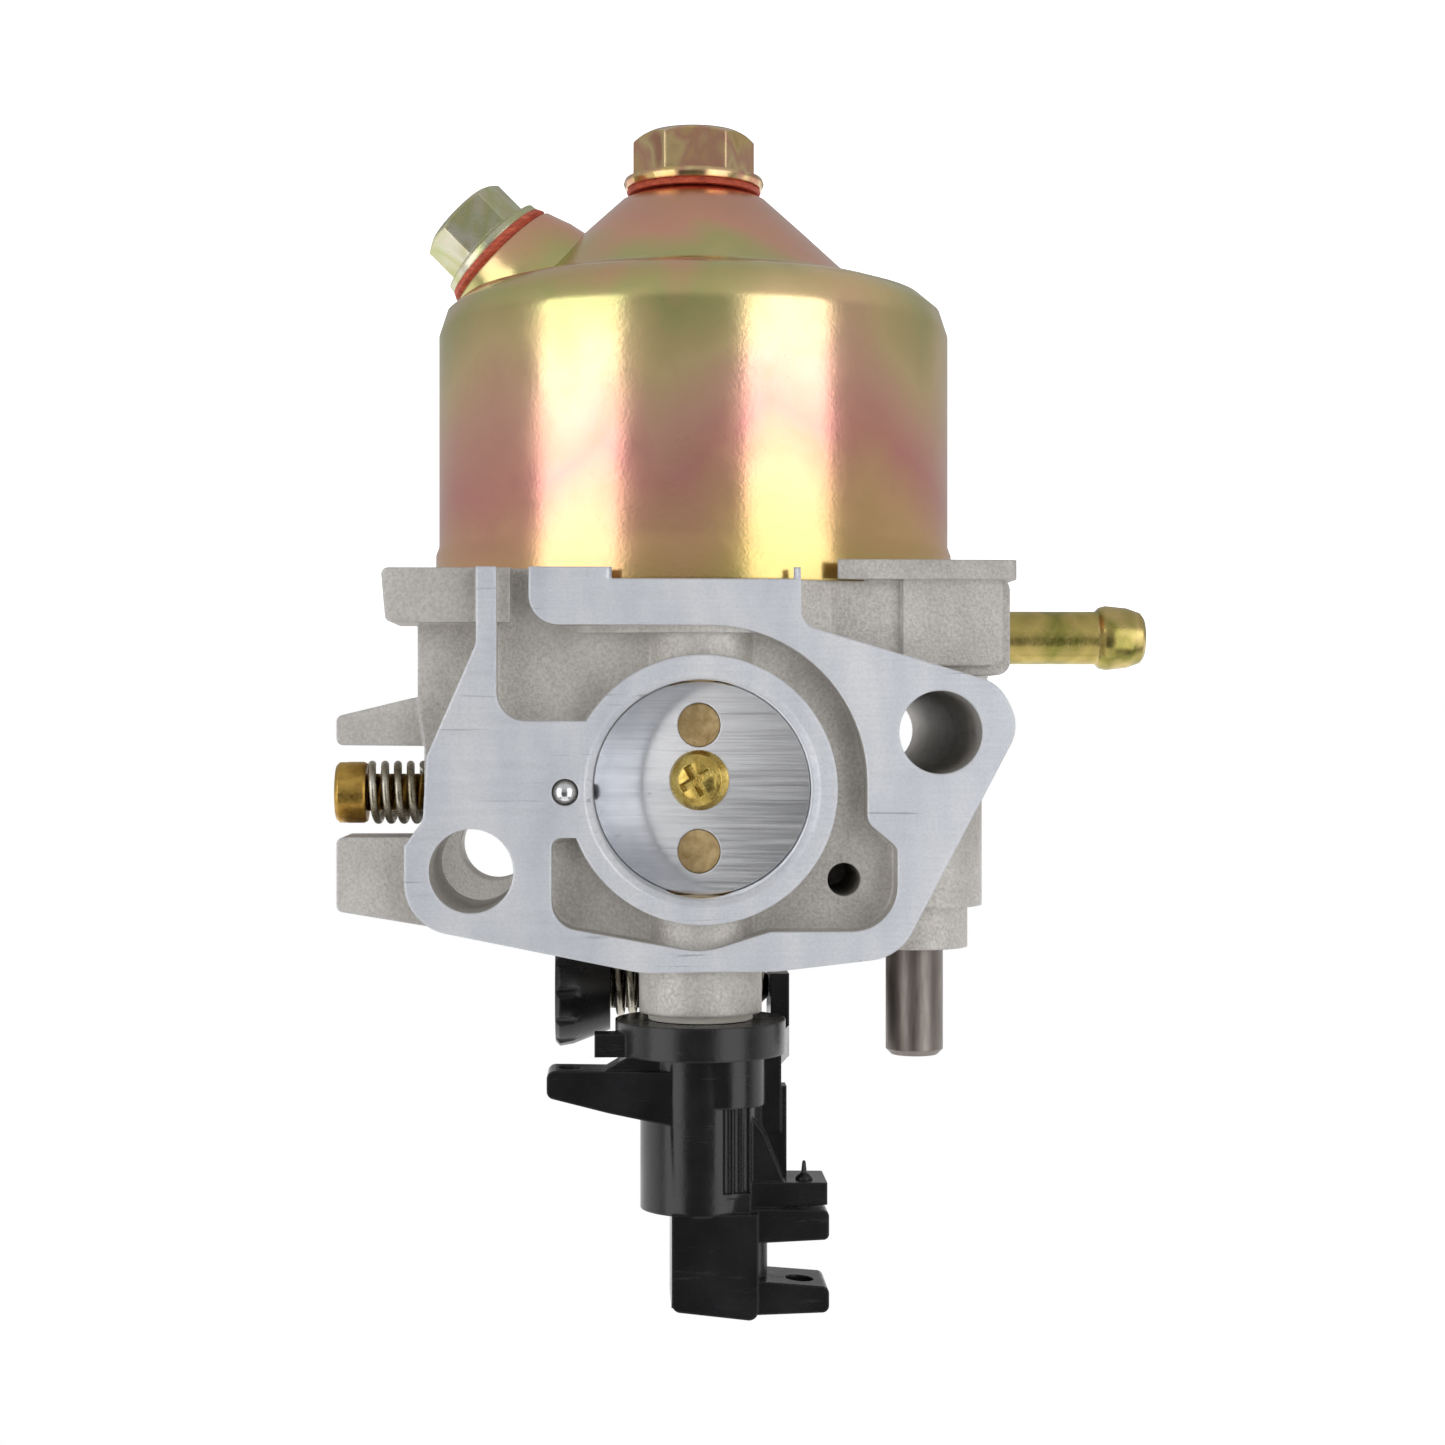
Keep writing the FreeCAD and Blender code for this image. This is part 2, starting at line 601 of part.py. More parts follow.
def washer(name, inner, outer, thick, at, turn):
    return turned(name, [
        (inner, "0"),
        (f"({outer}) - ({thick}) * 0.25", "0"),
        (outer, f"({thick}) * 0.5"),
        (f"({outer}) - ({thick}) * 0.25", thick),
        (inner, thick),
    ], at, turn)


def bowl_bolt():
    """Flanged hexagon bolt that holds the bowl to the jet post."""
    foot = ("bore_x", "bowl_y", "bowl_floor")
    node(washer("bolt_washer", "bolt_dia / 2 + slack", "bolt_flange / 2 - 0.3", "washer_thick", foot, "-Z"),
         "bowl_bolt_washer")
    shank = turned("bolt_shank", [
        ("0", "-bolt_head"),
        ("bolt_flange / 2 - 1.4", "-bolt_head"),
        ("bolt_flange / 2", "-washer_thick - 0.5"),
        ("bolt_flange / 2 - 0.2", "-washer_thick"),
        ("bolt_dia / 2 - running_gap", "-washer_thick"),
        ("bolt_dia / 2 - running_gap", "13"),
        ("bolt_dia / 2 - 0.6", "13.6"),
        ("0", "13.6"),
    ], foot)
    head = hexagon("bolt_hexagon", "bolt_hex", "bolt_head",
                   ("bore_x", "bowl_y", "bowl_floor - washer_thick"), "-Z")
    flange = common("bolt_turned", shank, turned("bolt_limit", [
        ("0", "-washer_thick - 0.9"),
        ("bolt_flange", "-washer_thick - 0.9"),
        ("bolt_flange", "20"),
        ("0", "20"),
    ], foot))
    node(fuse("bolt", [head, flange]), "bowl_bolt")


def along_drain(distance):
    """The point this far up the drain pad's slanted axis, as three expressions."""
    return (f"{DRAIN_FOOT[0]} + ({distance}) * sin(drain_angle * 1deg)", "bowl_y",
            f"{DRAIN_FOOT[2]} - ({distance}) * cos(drain_angle * 1deg)")


def drain_bolt():
    """Hexagon drain screw with its fibre washer, on the bowl's slanted pad."""
    seat = along_drain(DRAIN_REACH)
    node(washer("drain_ring", "drain_thread / 2 + slack", "drain_hex / 2 + 1.9", "1", seat, DRAIN_TURN),
         "drain_bolt_washer")
    collar = turned("drain_collar", [
        ("0", "-6"),
        ("drain_thread / 2 - running_gap", "-6"),
        ("drain_thread / 2 - running_gap", "1"),
        ("drain_hex / 2 + 1.6", "1"),
        ("drain_hex / 2 + 1.5", "1.7"),
        ("drain_hex / 2", "2.1"),
        ("0", "2.1"),
    ], seat, DRAIN_TURN)
    head = hexagon("drain_hexagon", "drain_hex", "4.3", along_drain(f"{DRAIN_REACH} + 1.6"), DRAIN_TURN)
    node(fuse("drain", [collar, head]), "drain_bolt")


# ---------------------------------------------------------------- float and inlet valve

def float_and_valve():
    """Ring float on its hinge pin, with the needle that it lifts against the inlet seat."""
    ring = annulus("float_ring", "float_radius", "float_hole", "float_deep",
                   ("bore_x", "bowl_y", "float_top - float_deep"))
    opening = block("float_opening",
                    ("bore_x - float_radius - 1", "bowl_y - 9.8", "float_top - float_deep - 1"),
                    ("pin_x + 8.6", "bowl_y + 9.8", "float_top + 1"))
    arms = [
        block(f"float_arm_{side}", ("pin_x - 1.6", f"bowl_y + ({near})", "pin_z - 1.6"),
              ("pin_x + 10.6", f"bowl_y + ({near}) + 1.6", "pin_z + 1.2"))
        for side, near in (("front", "-5.9"), ("back", "4.3"))
    ]
    tab = block("float_tab", ("needle_x - 2", "bowl_y - 5", "pin_z - 0.4"),
                ("needle_x + 3", "bowl_y + 5", "pin_z + 0.6"))
    bridge = block("float_bridge", ("pin_x + 8.2", "bowl_y - 10.5", "pin_z - 1.6"),
                   ("pin_x + 10.6", "bowl_y + 10.5", "pin_z + 0.6"))
    bearing = rod("float_bearing", "pin_dia / 2 + running_gap", "24",
                  ("pin_x", "bowl_y - 12", "pin_z"), "Y")
    well = rod("float_well", "float_hole", "30", ("bore_x", "bowl_y", "pin_z - 15"))
    solid = fuse("float_blank", [cut("float_open_ring", ring, opening), tab, bridge] + arms)
    node(cut("float_cut", solid, fuse("float_cuts", [bearing, well])), "float")

    pin = rod("hinge_pin", "pin_dia / 2", "18.8", ("pin_x", "bowl_y - 9.4", "pin_z"), "Y")
    node(pin, "float_hinge_pin")
    seat_top = "inlet_z - 2.6"
    seat = turned("valve_seat", [
        ("needle_dia / 2 + 0.2", "bowl_seat - cap_spigot"),
        ("seat_dia / 2", "bowl_seat - cap_spigot"),
        ("seat_dia / 2", seat_top),
        ("0.8", seat_top),
        ("0.8", f"{seat_top} - 1"),
        ("needle_dia / 2 + 0.2", f"{seat_top} - 2.2"),
    ], ("needle_x", "bowl_y", "0"))
    node(seat, "inlet_valve_seat")
    needle = turned("valve_needle", [
        ("0", "pin_z + 0.7"),
        ("0.6", "pin_z + 0.7"),
        ("0.6", "pin_z + 1.5"),
        ("needle_dia / 2", "pin_z + 1.9"),
        ("needle_dia / 2", f"{seat_top} - 2.5"),
        ("0.3", f"{seat_top} - 1.1"),
        ("0", f"{seat_top} - 1.1"),
    ], ("needle_x", "bowl_y", "0"))
    node(needle, "inlet_needle")


def jets():
    """Main jet and emulsion tube in the post, pilot jet in its boss."""
    axis = ("bore_x", "bowl_y", "0")
    node(turned("jet_main", [
        ("0.5", "post_end + 8.4"),
        ("2.5", "post_end + 8.4"),
        ("2.9", "post_end + 8.8"),
        ("2.9", "post_end + 9.2"),
        ("2.4", "post_end + 9.7"),
        ("2.4", "post_end + 13.5"),
        ("0.5", "post_end + 13.5"),
    ], axis), "main_jet")
    node(turned("tube_emulsion", [
        ("0.9", "post_end + 14"),
        ("2.4", "post_end + 14"),
        ("2.4", "post_end + 17"),
        ("1.9", "post_end + 18"),
        ("1.9", "bore_z - 12.6"),
        ("1.6", "bore_z - 12"),
        ("1.6", "bore_z - venturi_bore / 2 + 2.4"),
        ("0.9", "bore_z - venturi_bore / 2 + 2.4"),
    ], axis), "emulsion_tube")
    node(turned("jet_pilot", [
        ("0", "1.4"),
        ("0.8", "1.4"),
        ("0.8", "6"),
        ("jet_dia / 2 - running_gap", "7.4"),
        ("jet_dia / 2 - running_gap", "13"),
        ("jet_dia / 2 + 1", "13"),
        ("jet_dia / 2 + 1", "14.4"),
        ("jet_dia / 2", "15"),
        ("0", "15"),
    ], ("jet_x", "jet_y", "0")), "pilot_jet")


# ---------------------------------------------------------------- throttle

PLATE_TURN = FreeCAD.Rotation(V(0, 0, 1), number("plate_tilt"))
OPEN_CHOKE = FreeCAD.Rotation(V(0, 0, 1), 90)


def tilted(name, low, high, at, turn):
    """A box given in the frame of a plate that is turned about its upright shaft."""
    thing = DOC.addObject("Part::Box", name)
    for side, start, end in zip(("Length", "Width", "Height"), low, high):
        bind(thing, side, f"({end}) - ({start})")
    corner = turn.multVec(V(*(number(value) for value in low)))
    origin = V(*(number(value) for value in at))
    thing.Placement = FreeCAD.Placement(origin + corner, turn)
    return thing


def tilted_rod(name, radius, length, level, at, turn):
    """A rod square to that plate, from its back to its front, at a height above the shaft's foot."""
    thing = DOC.addObject("Part::Cylinder", name)
    bind(thing, "Radius", radius)
    bind(thing, "Height", f"({length[1]}) - ({length[0]})")
    start = turn.multVec(V(0, -number(length[0]), number(level)))
    origin = V(*(number(value) for value in at))
    thing.Placement = FreeCAD.Placement(origin + start, turn.multiply(TURNS["-Y"]))
    return thing


def throttle():
    """Half-flat shaft, butterfly plate, its screw and the sealing washer above the boss."""
    centre = ("bore_x", "throttle_y", "bore_z")
    half = "plate_thick / 2"
    shaft = rod("throttle_rod", "shaft_dia / 2", f"lever_top - 9 - {BOSS_BOTTOM} - 1.4",
                ("bore_x", "throttle_y", f"{BOSS_BOTTOM} + 1.2"))
    front = tilted("shaft_flat", ("-shaft_dia", "-shaft_dia", "-throttle_bore / 2 + 0.1"),
                   ("shaft_dia", half, "throttle_bore / 2 - 0.1"), centre, PLATE_TURN)
    pips = [
        tilted_rod(f"shaft_pip_{name}", "pip_dia / 2", (f"-{half} - 0.4", f"{half} + 0.1"), level,
                   centre, PLATE_TURN)
        for name, level in (("low", "-pip_space / 2"), ("high", "pip_space / 2"))
    ]
    thread = tilted_rod("shaft_thread", "1.4", ("-shaft_dia", "shaft_dia"), "-0.7", centre, PLATE_TURN)
    drive = block("shaft_drive", ("bore_x - shaft_dia", "throttle_y + shaft_dia / 3", "lever_bottom + 1"),
                  ("bore_x + shaft_dia", "throttle_y + shaft_dia", "lever_top"))
    solid = fuse("shaft_blank", [cut("shaft_milled", shaft, fuse("shaft_cuts", [front, drive]))] + pips)
    node(cut("shaft_done", solid, thread), "throttle_shaft")

    slab = tilted("plate_slab", ("-throttle_bore", f"-{half}", "-throttle_bore"),
                  ("throttle_bore", half, "throttle_bore"), centre, PLATE_TURN)
    core = rod("plate_core", "throttle_bore / 2 - plate_gap", "throttle_bore",
               ("bore_x", "throttle_y - throttle_bore / 2", "bore_z"), "Y")
    holes = [
        tilted_rod(f"plate_hole_{name}", "pip_dia / 2 + running_gap", ("-2", "2"), level,
                   centre, PLATE_TURN)
        for name, level in (("low", "-pip_space / 2"), ("high", "pip_space / 2"))
    ]
    screw_hole = tilted_rod("plate_screw_hole", "1.5", ("-2", "2"), "-0.7", centre, PLATE_TURN)
    node(cut("butterfly", common("plate_disc", slab, core), fuse("plate_holes", holes + [screw_hole])),
         "throttle_plate")
    screw = cross_screw("butterfly_screw", "plate_screw_dia", "1.3", "1.35", half, "-0.7",
                        centre, PLATE_TURN)
    node(screw, "throttle_plate_screw")
    node(turned("seal_ring", [
        ("shaft_dia / 2 + running_gap", "boss_top"),
        ("throttle_boss_dia / 2 - 0.8", "boss_top"),
        ("throttle_boss_dia / 2 - 0.8", "lever_bottom - running_gap"),
        ("shaft_dia / 2 + running_gap", "lever_bottom - running_gap"),
    ], ("bore_x", "throttle_y", "0")), "throttle_shaft_washer")


def cross_screw(name, head, high, shank, half, level, centre, turn):
    """A pan-head cross-recess screw that holds a plate to its shaft."""
    pan = turned(name + "_pan", [
        ("0", "-4"),
        (shank, "-4"),
        (shank, half),
        (f"({head}) / 2 - 0.15", half),
        (f"({head}) / 2", f"({half}) + 0.3"),
        (f"({head}) / 2 - 0.35", f"({half}) + ({high}) * 0.7"),
        (f"({head}) / 2 - 1.2", f"({half}) + ({high})"),
        ("0", f"({half}) + ({high})"),
    ])
    slots = []
    for across, along in ((0.38, 1.5), (1.5, 0.38)):
        slot = DOC.addObject("Part::Box", name + "_slot")
        slot.Length = 2 * across
        slot.Width = 2 * along
        slot.Height = 2
        slot.Placement.Base = V(-across, -along, number(half) + number(high) - 0.8)
        slots.append(slot)
    screw = cut(name, pan, fuse(name + "_recess", slots))
    origin = V(*(number(value) for value in centre))
    facing = turn.multiply(TURNS["-Y"]).multiply(FreeCAD.Rotation(V(0, 0, 1), 30))
    screw.Placement = FreeCAD.Placement(origin + V(0, 0, number(level)), facing)
    return screw


def throttle_lever():
    """Moulded lever on the shaft: hub, skirt, stop tab, spring arm and rod forks."""
    hub_x, hub_y = "bore_x", "throttle_y"
    solids = [
        rod("lever_core", "lever_hub", "lever_top - lever_bottom - 9", (hub_x, hub_y, "lever_bottom")),
        rod("lever_skirt_disc", "lever_skirt", "2.9", (hub_x, hub_y, "lever_bottom")),
        block("lever_skirt_side", ("bore_x - lever_skirt + 0.4", "throttle_y - 0.5", "lever_bottom"),
              ("bore_x", "throttle_y + 4", "lever_bottom + 10")),
        rod("lever_front", "3.65", "7.2", ("bore_x - 1.95", "throttle_y - 1.7", "lever_bottom")),
        rod("lever_barrel", "3.25", "9", ("bore_x - 1.6", "throttle_y - 1.7", "lever_bottom + 6")),
        prism("lever_gusset", "XZ", [
            ("bore_x + 1", "lever_bottom"),
            ("bore_x + 4.5", "lever_bottom"),
            ("bore_x + 4.5", "lever_bottom + 1.7"),
            ("bore_x + 8.7", "lever_bottom + 4.2"),
            ("bore_x + 1", "lever_bottom + 4.2"),
        ], "throttle_y - 3.9", "throttle_y - 0.4"),
        prism("lever_arm", "XZ", [
            ("bore_x + 1.5", "lever_bottom + 4.1"),
            ("bore_x + 13.4", "lever_bottom + 3.9"),
            ("bore_x + 13.4", "lever_bottom + 6.2"),
            ("bore_x + 8", "lever_bottom + 7.6"),
            ("bore_x + 2.4", "lever_bottom + 8.8"),
            ("bore_x + 1.5", "lever_bottom + 8.8"),
        ], "throttle_y - 4.6", "throttle_y", [("0.7", (1, 2))]),
        block("lever_side_wall", ("bore_x + 1.7", "throttle_y - 4.2", "lever_bottom + 6"),
              ("bore_x + 2.65", "throttle_y + 3", "lever_top - 1")),
        prism("lever_block", "XZ", [
            ("bore_x + 2.65", "lever_bottom + 16.3"),
            ("bore_x + 2.65", "lever_top - 0.9"),
            ("bore_x - 4.8", "lever_top"),
            ("bore_x - 4.8", "lever_bottom + 16.3"),
        ], "throttle_y - 5.2", "throttle_y + 3", [("0.8", (1, 2))]),
        block("lever_ledge", ("bore_x - 4.2", "throttle_y - 4.6", "lever_bottom + 14.6"),
              ("bore_x + 2.4", "throttle_y + 3", "lever_bottom + 16.6")),
        prism("lever_panel", "XZ", [
            ("bore_x - 3", "lever_bottom + 6"),
            ("bore_x - 7.6", "lever_bottom + 6"),
            ("bore_x - 7.6", "lever_bottom + 16"),
            ("bore_x - 3", "lever_bottom + 16"),
        ], "throttle_y", "throttle_y + 2.2"),
        prism("lever_web", "XZ", [
            ("bore_x - 4", "lever_bottom + 7.6"),
            ("bore_x - 5.4", "lever_bottom + 9.6"),
            ("bore_x - 7.9", "lever_bottom + 15.6"),
            ("bore_x - 4", "lever_bottom + 16.6"),
        ], "throttle_y - 3.4", "throttle_y + 0.4"),
        prism("fork_top", "XZ", [
            ("bore_x - 4", "lever_bottom + 13.8"),
            ("bore_x - 10.9", "lever_bottom + 13.9"),
            ("bore_x - 10.9", "lever_bottom + 15.8"),
            ("bore_x - 4", "lever_bottom + 16.2"),
        ], "throttle_y - 3.6", "throttle_y + 2.2"),
        prism("fork_middle", "XZ", [
            ("bore_x - 4", "lever_bottom + 16"),
            ("bore_x - 11", "lever_bottom + 16.2"),
            ("bore_x - 11", "lever_bottom + 18.7"),
            ("bore_x - 4", "lever_bottom + 19"),
        ], "throttle_y - 4.2", "throttle_y + 2.2", [("0.5", (1, 2))]),
        prism("fork_low", "XZ", [
            ("bore_x - 4", "lever_bottom + 22.2"),
            ("bore_x - 11", "lever_bottom + 22.8"),
            ("bore_x - 11", "lever_bottom + 25"),
            ("bore_x - 4", "lever_bottom + 25.2"),
        ], "throttle_y - 4.2", "throttle_y + 2.2", [("0.6", (1, 2))]),
        rod("fork_back", "1.1", "6", ("bore_x - 4.7", "throttle_y - 1.5", "lever_bottom + 18")),
        prism("stop_arm", "XY", [
            ("bore_x - 7", "throttle_y + 1"),
            ("bore_x - 1", "throttle_y + 3"),
            ("bore_x - 6.7", "idle_y + 3.2"),
            ("bore_x - 8.4", "idle_y + 3.2"),
            ("bore_x - 8.4", "throttle_y + 8"),
        ], "lever_bottom + 1.6", "lever_bottom + 4.4"),
        block("stop_tab", ("bore_x - 8.4", "throttle_y + 8", "idle_z - 1.4"),
              ("bore_x - 6.7", "idle_y + 3.2", "lever_bottom + 4.4")),
        block("side_tab", ("bore_x + 5.8", "throttle_y - 3.6", "lever_bottom + 0.9"),
              ("bore_x + 9.3", "throttle_y - 1.2", "lever_bottom + 2.9")),
    ]
    spots = (("-1.5", "2.9"), ("0.6", "3.2"), ("1.5", "2.9"), ("2.3", "2.3"))
    flutes = [
        rod(f"lever_flute_{index}", "0.42", "7.4",
            (f"bore_x - 1.6 - ({across})", f"throttle_y - 1.7 - ({depth})", "lever_bottom + 7.2"))
        for index, (across, depth) in enumerate(spots)
    ]
    bearing = rod("lever_round", "shaft_dia / 2 + running_gap", "lever_top - lever_bottom - 7.6",
                  (hub_x, hub_y, "lever_bottom - 1"))
    key = block("lever_key",
                ("bore_x - shaft_dia", "throttle_y + shaft_dia / 3 + running_gap",
                 "lever_bottom + 1 + slack"),
                ("bore_x + shaft_dia", "throttle_y + shaft_dia", "lever_top"))
    tools = flutes + [
        cut("lever_bore", bearing, key),
        rod("spring_hole", "1", "8", ("bore_x + 11.4", "throttle_y - 2.3", "lever_bottom + 2")),
        rod("rod_hole", "1.25", "8", ("bore_x - 8.6", "throttle_y - 1.6", "lever_bottom + 20")),
    ]
    node(cut("lever", fuse("lever_blank", solids), fuse("lever_cuts", tools)), "throttle_lever")


# ---------------------------------------------------------------- choke

def choke():
    """Choke shaft, butterfly and lever, drawn with the choke open."""
    centre = ("bore_x", "choke_y", "bore_z")
    half = "plate_thick / 2"
    rod_part = rod("choke_rod", "choke_shaft_dia / 2", "choke_boss_top + 22",
                   ("bore_x", "choke_y", "-15.8"))
    flat = tilted("choke_flat", ("-choke_shaft_dia", "-choke_shaft_dia", "-choke_bore / 2 + 0.1"),
                  ("choke_shaft_dia", half, "choke_bore / 2 - 0.1"), centre, OPEN_CHOKE)
    threads = [
        tilted_rod(f"choke_thread_{index}", "1.1", ("-choke_shaft_dia", "choke_shaft_dia"), level,
                   centre, OPEN_CHOKE)
        for index, level in enumerate(("-4", "4"))
    ]
    drive = block("choke_drive",
                  ("bore_x - choke_shaft_dia", "choke_y + choke_shaft_dia / 3", "choke_boss_top + 1"),
                  ("bore_x + choke_shaft_dia", "choke_y + choke_shaft_dia", "choke_boss_top + 20"))
    node(cut("choke_spindle", rod_part, fuse("choke_shaft_cuts", [flat, drive] + threads)), "choke_shaft")

    closed = FreeCAD.Rotation(V(0, 0, 1), number("choke_tilt"))
    origin = ("0", "0", "0")
    slab = tilted("choke_slab", ("-choke_bore", f"-{half}", "-choke_bore"),
                  ("choke_bore", half, "choke_bore"), origin, closed)
    core = rod("choke_core", "choke_bore / 2 - plate_gap", "choke_bore", ("0", "-choke_bore / 2", "0"), "Y")
    holes = [
        tilted_rod(f"choke_hole_{index}", radius, ("-2", "2"), level, origin, closed)
        for index, (radius, level) in enumerate((("1.2", "-4"), ("1.2", "4")))
    ]
    relief = rod("choke_relief", "2", "12", ("choke_bore / 4 + 1.2", "-3", "0"), "Y")
    disc = cut("choke_disc", common("choke_blank", slab, core), fuse("choke_holes", holes + [relief]))
    opening = FreeCAD.Rotation(V(0, 0, 1), 90 - number("choke_tilt"))
    disc.Placement = FreeCAD.Placement(V(*(number(value) for value in centre)), opening)
    node(disc, "choke_plate")
    for name, level in (("upper", "4"), ("lower", "-4")):
        node(cross_screw(f"choke_screw_{name}", "4", "1.1", "1.05", half, level, centre, OPEN_CHOKE),
             f"choke_plate_screw_{name}")

    foot = "choke_boss_top + running_gap"
    solids = [
        rod("choke_hub", "5.6", "5.5", ("bore_x", "choke_y", foot)),
        prism("choke_arm", "XY", [
            ("bore_x - 3.6", "choke_y"),
            ("bore_x + 3.6", "choke_y"),
            ("bore_x + 2.6", "choke_y + 21"),
            ("bore_x - 2.6", "choke_y + 21"),
        ], f"{foot} + 1.2", f"{foot} + 3.8", [("1.2", (2, 3))]),
        block("choke_grip", ("bore_x - 1.2", "choke_y + 12", f"{foot} + 0.4"),
              ("bore_x + 1.2", "choke_y + 21.6", f"{foot} + 6.4")),
    ]
    bearing = rod("choke_lever_round", "choke_shaft_dia / 2 + running_gap", "8",
                  ("bore_x", "choke_y", "choke_boss_top - 1"))
    key = block("choke_lever_key",
                ("bore_x - choke_shaft_dia", "choke_y + choke_shaft_dia / 3 + running_gap",
                 "choke_boss_top + 1 + slack"),
                ("bore_x + choke_shaft_dia", "choke_y + choke_shaft_dia", "choke_boss_top + 20"))
    bore = cut("choke_lever_bore", bearing, key)
    node(cut("choke_handle", fuse("choke_lever_blank", solids), bore), "choke_lever")


# ---------------------------------------------------------------- adjusting screws and pipes

def pilot_screw():
    """Mixture screw in brass with a coil spring, between the two cast ears."""
    at = ("0", "pilot_y", "pilot_z")
    head_start = f"{PILOT_END} - 2.7"
    body = turned("mixture_screw", [
        ("0", "bore_x + 12.2"),
        ("0.5", "bore_x + 12.2"),
        ("pilot_thread / 2", "bore_x + 15.5"),
        ("pilot_thread / 2", head_start),
        ("pilot_head / 2 - 0.15", head_start),
        ("pilot_head / 2", f"{head_start} + 0.3"),
        ("pilot_head / 2", f"{PILOT_END} - 0.3"),
        ("pilot_head / 2 - 0.3", PILOT_END),
        ("0", PILOT_END),
    ], at, "X")
    slot = block("mixture_slot", (f"{PILOT_END} - 1", "pilot_y - 0.45", "pilot_z - 4"),
                 (f"{PILOT_END} + 1", "pilot_y + 0.45", "pilot_z + 4"))
    node(cut("mixture", body, slot), "pilot_screw")
    length = f"{head_start} - {PILOT_FACE} - 0.1"
    node(coil("mixture_coil", "pilot_coil / 2", "coil_wire", length, 4,
              (f"{PILOT_FACE} + 0.05 + coil_wire / 2", "pilot_y", "pilot_z"), "X"), "pilot_screw_spring")


def idle_screw():
    """Stop screw with a fluted tapered knob; its tip meets the lever's stop tab."""
    at = ("0", "idle_y", "idle_z")
    knob_start = "idle_face + 5.3"
    node(turned("stop_screw", [
        ("0", "bore_x - 6.65"),
        ("1", "bore_x - 6.65"),
        ("idle_thread / 2", "bore_x - 5.6"),
        ("idle_thread / 2", f"{knob_start} + 3"),
        ("0", f"{knob_start} + 3"),
    ], at, "X"), "idle_speed_screw")
    cone = turned("knob_cone", [
        ("idle_thread / 2", knob_start),
        ("idle_knob / 2 - 1.5", knob_start),
        ("idle_knob / 2 - 0.2", f"{knob_start} + 3.4"),
        ("idle_knob / 2", f"{knob_start} + 4.6"),
        ("idle_knob / 2 - 0.4", f"{knob_start} + 5"),
        ("0", f"{knob_start} + 5"),
        ("0", f"{knob_start} + 3"),
        ("idle_thread / 2", f"{knob_start} + 3"),
    ], at, "X")
    flutes = []
    for index in range(12):
        flute = DOC.addObject("Part::Cylinder", "knob_flute")
        flute.Radius = 0.55
        flute.Height = 4.4
        spoke = FreeCAD.Rotation(V(1, 0, 0), 30 * index).multVec(V(0, number("idle_knob / 2 + 0.2"), 0))
        start = V(number(f"{knob_start} + 1.4"), number("idle_y"), number("idle_z"))
        flute.Placement = FreeCAD.Placement(start + spoke, TURNS["X"])
        flutes.append(flute)
    slot = block("knob_slot", (f"{knob_start} + 4", "idle_y - 3.5", "idle_z - 0.6"),
                 (f"{knob_start} + 6", "idle_y + 3.5", "idle_z + 0.6"))
    node(cut("knob", cone, fuse("knob_cuts", flutes + [slot])), "idle_speed_knob")
    length = f"{knob_start} - idle_face - 0.1"
    node(coil("stop_coil", "idle_thread / 2 + 0.8", "coil_wire", length, 4,
              ("idle_face + 0.05 + coil_wire / 2", "idle_y", "idle_z"), "X"), "idle_speed_spring")


def pipes():
    """Barbed fuel spigot, chamber vent pipe and the ball that closes a drilled passage."""
    node(turned("spigot", [
        ("spigot_hole / 2", f"-({BLOCK_SIDE} + 4)"),
        ("spigot_dia / 2", f"-({BLOCK_SIDE} + 4)"),
        ("spigot_dia / 2", f"-{SPIGOT_END} - 4.6"),
        ("barb_dia / 2 - 0.15", f"-{SPIGOT_END} - 4.2"),
        ("barb_dia / 2", f"-{SPIGOT_END} - 3.6"),
        ("barb_dia / 2 - 0.2", f"-{SPIGOT_END} - 1.6"),
        ("spigot_dia / 2 - 0.1", f"-{SPIGOT_END} - 0.3"),
        ("spigot_dia / 2 - 0.5", f"-{SPIGOT_END}"),
        ("spigot_hole / 2 + 0.2", f"-{SPIGOT_END}"),
        ("spigot_hole / 2", f"-{SPIGOT_END} - 0.5"),
    ], ("0", "bowl_y", "inlet_z"), "-X"), "fuel_inlet_spigot")
    node(turned("vent_tube", [
        ("vent_dia / 2 - 0.9", "vent_boss_end - 7"),
        ("vent_dia / 2 + 0.4", "vent_boss_end - 7"),
        ("vent_dia / 2 + 0.4", "vent_boss_end"),
        ("vent_dia / 2", "vent_boss_end"),
        ("vent_dia / 2", "vent_end - 0.5"),
        ("vent_dia / 2 - 0.5", "vent_end"),
        ("vent_dia / 2 - 0.9", "vent_end"),
    ], ("vent_x", "vent_y", "0")), "vent_pipe")
    ball = DOC.addObject("Part::Sphere", "plug_ball")
    ball.Radius = 1.15
    node(place(ball, ("bore_x + 11.8", "0.95", "bore_z + 0.2")), "passage_ball_plug")


# ---------------------------------------------------------------- build and write

def check_and_write():
    DOC.recompute()
    for thing in DOC.Objects:
        if "Invalid" in thing.State or "Error" in thing.State:
            raise RuntimeError(f"{thing.Label} failed: {thing.State}")
    os.makedirs("parts", exist_ok=True)
    for thing in NODES:
        shape = thing.Shape
        if shape.isNull() or not shape.isValid() or len(shape.Solids) != 1:
            raise RuntimeError(f"{thing.Label} is not one sound solid ({len(shape.Solids)} solids)")
        print(f"{thing.Label:26s} {shape.Volume:10.1f} mm3")
    for thing in NODES:
        thing.Shape.exportStep(f"parts/{thing.Label}.step")


carburetor_body()
float_bowl()
bowl_bolt()
drain_bolt()
float_and_valve()
jets()
throttle()
throttle_lever()
choke()
pilot_screw()
idle_screw()
pipes()
check_and_write()
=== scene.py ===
import json
import math

import bmesh
import bpy
from mathutils import Matrix, Vector


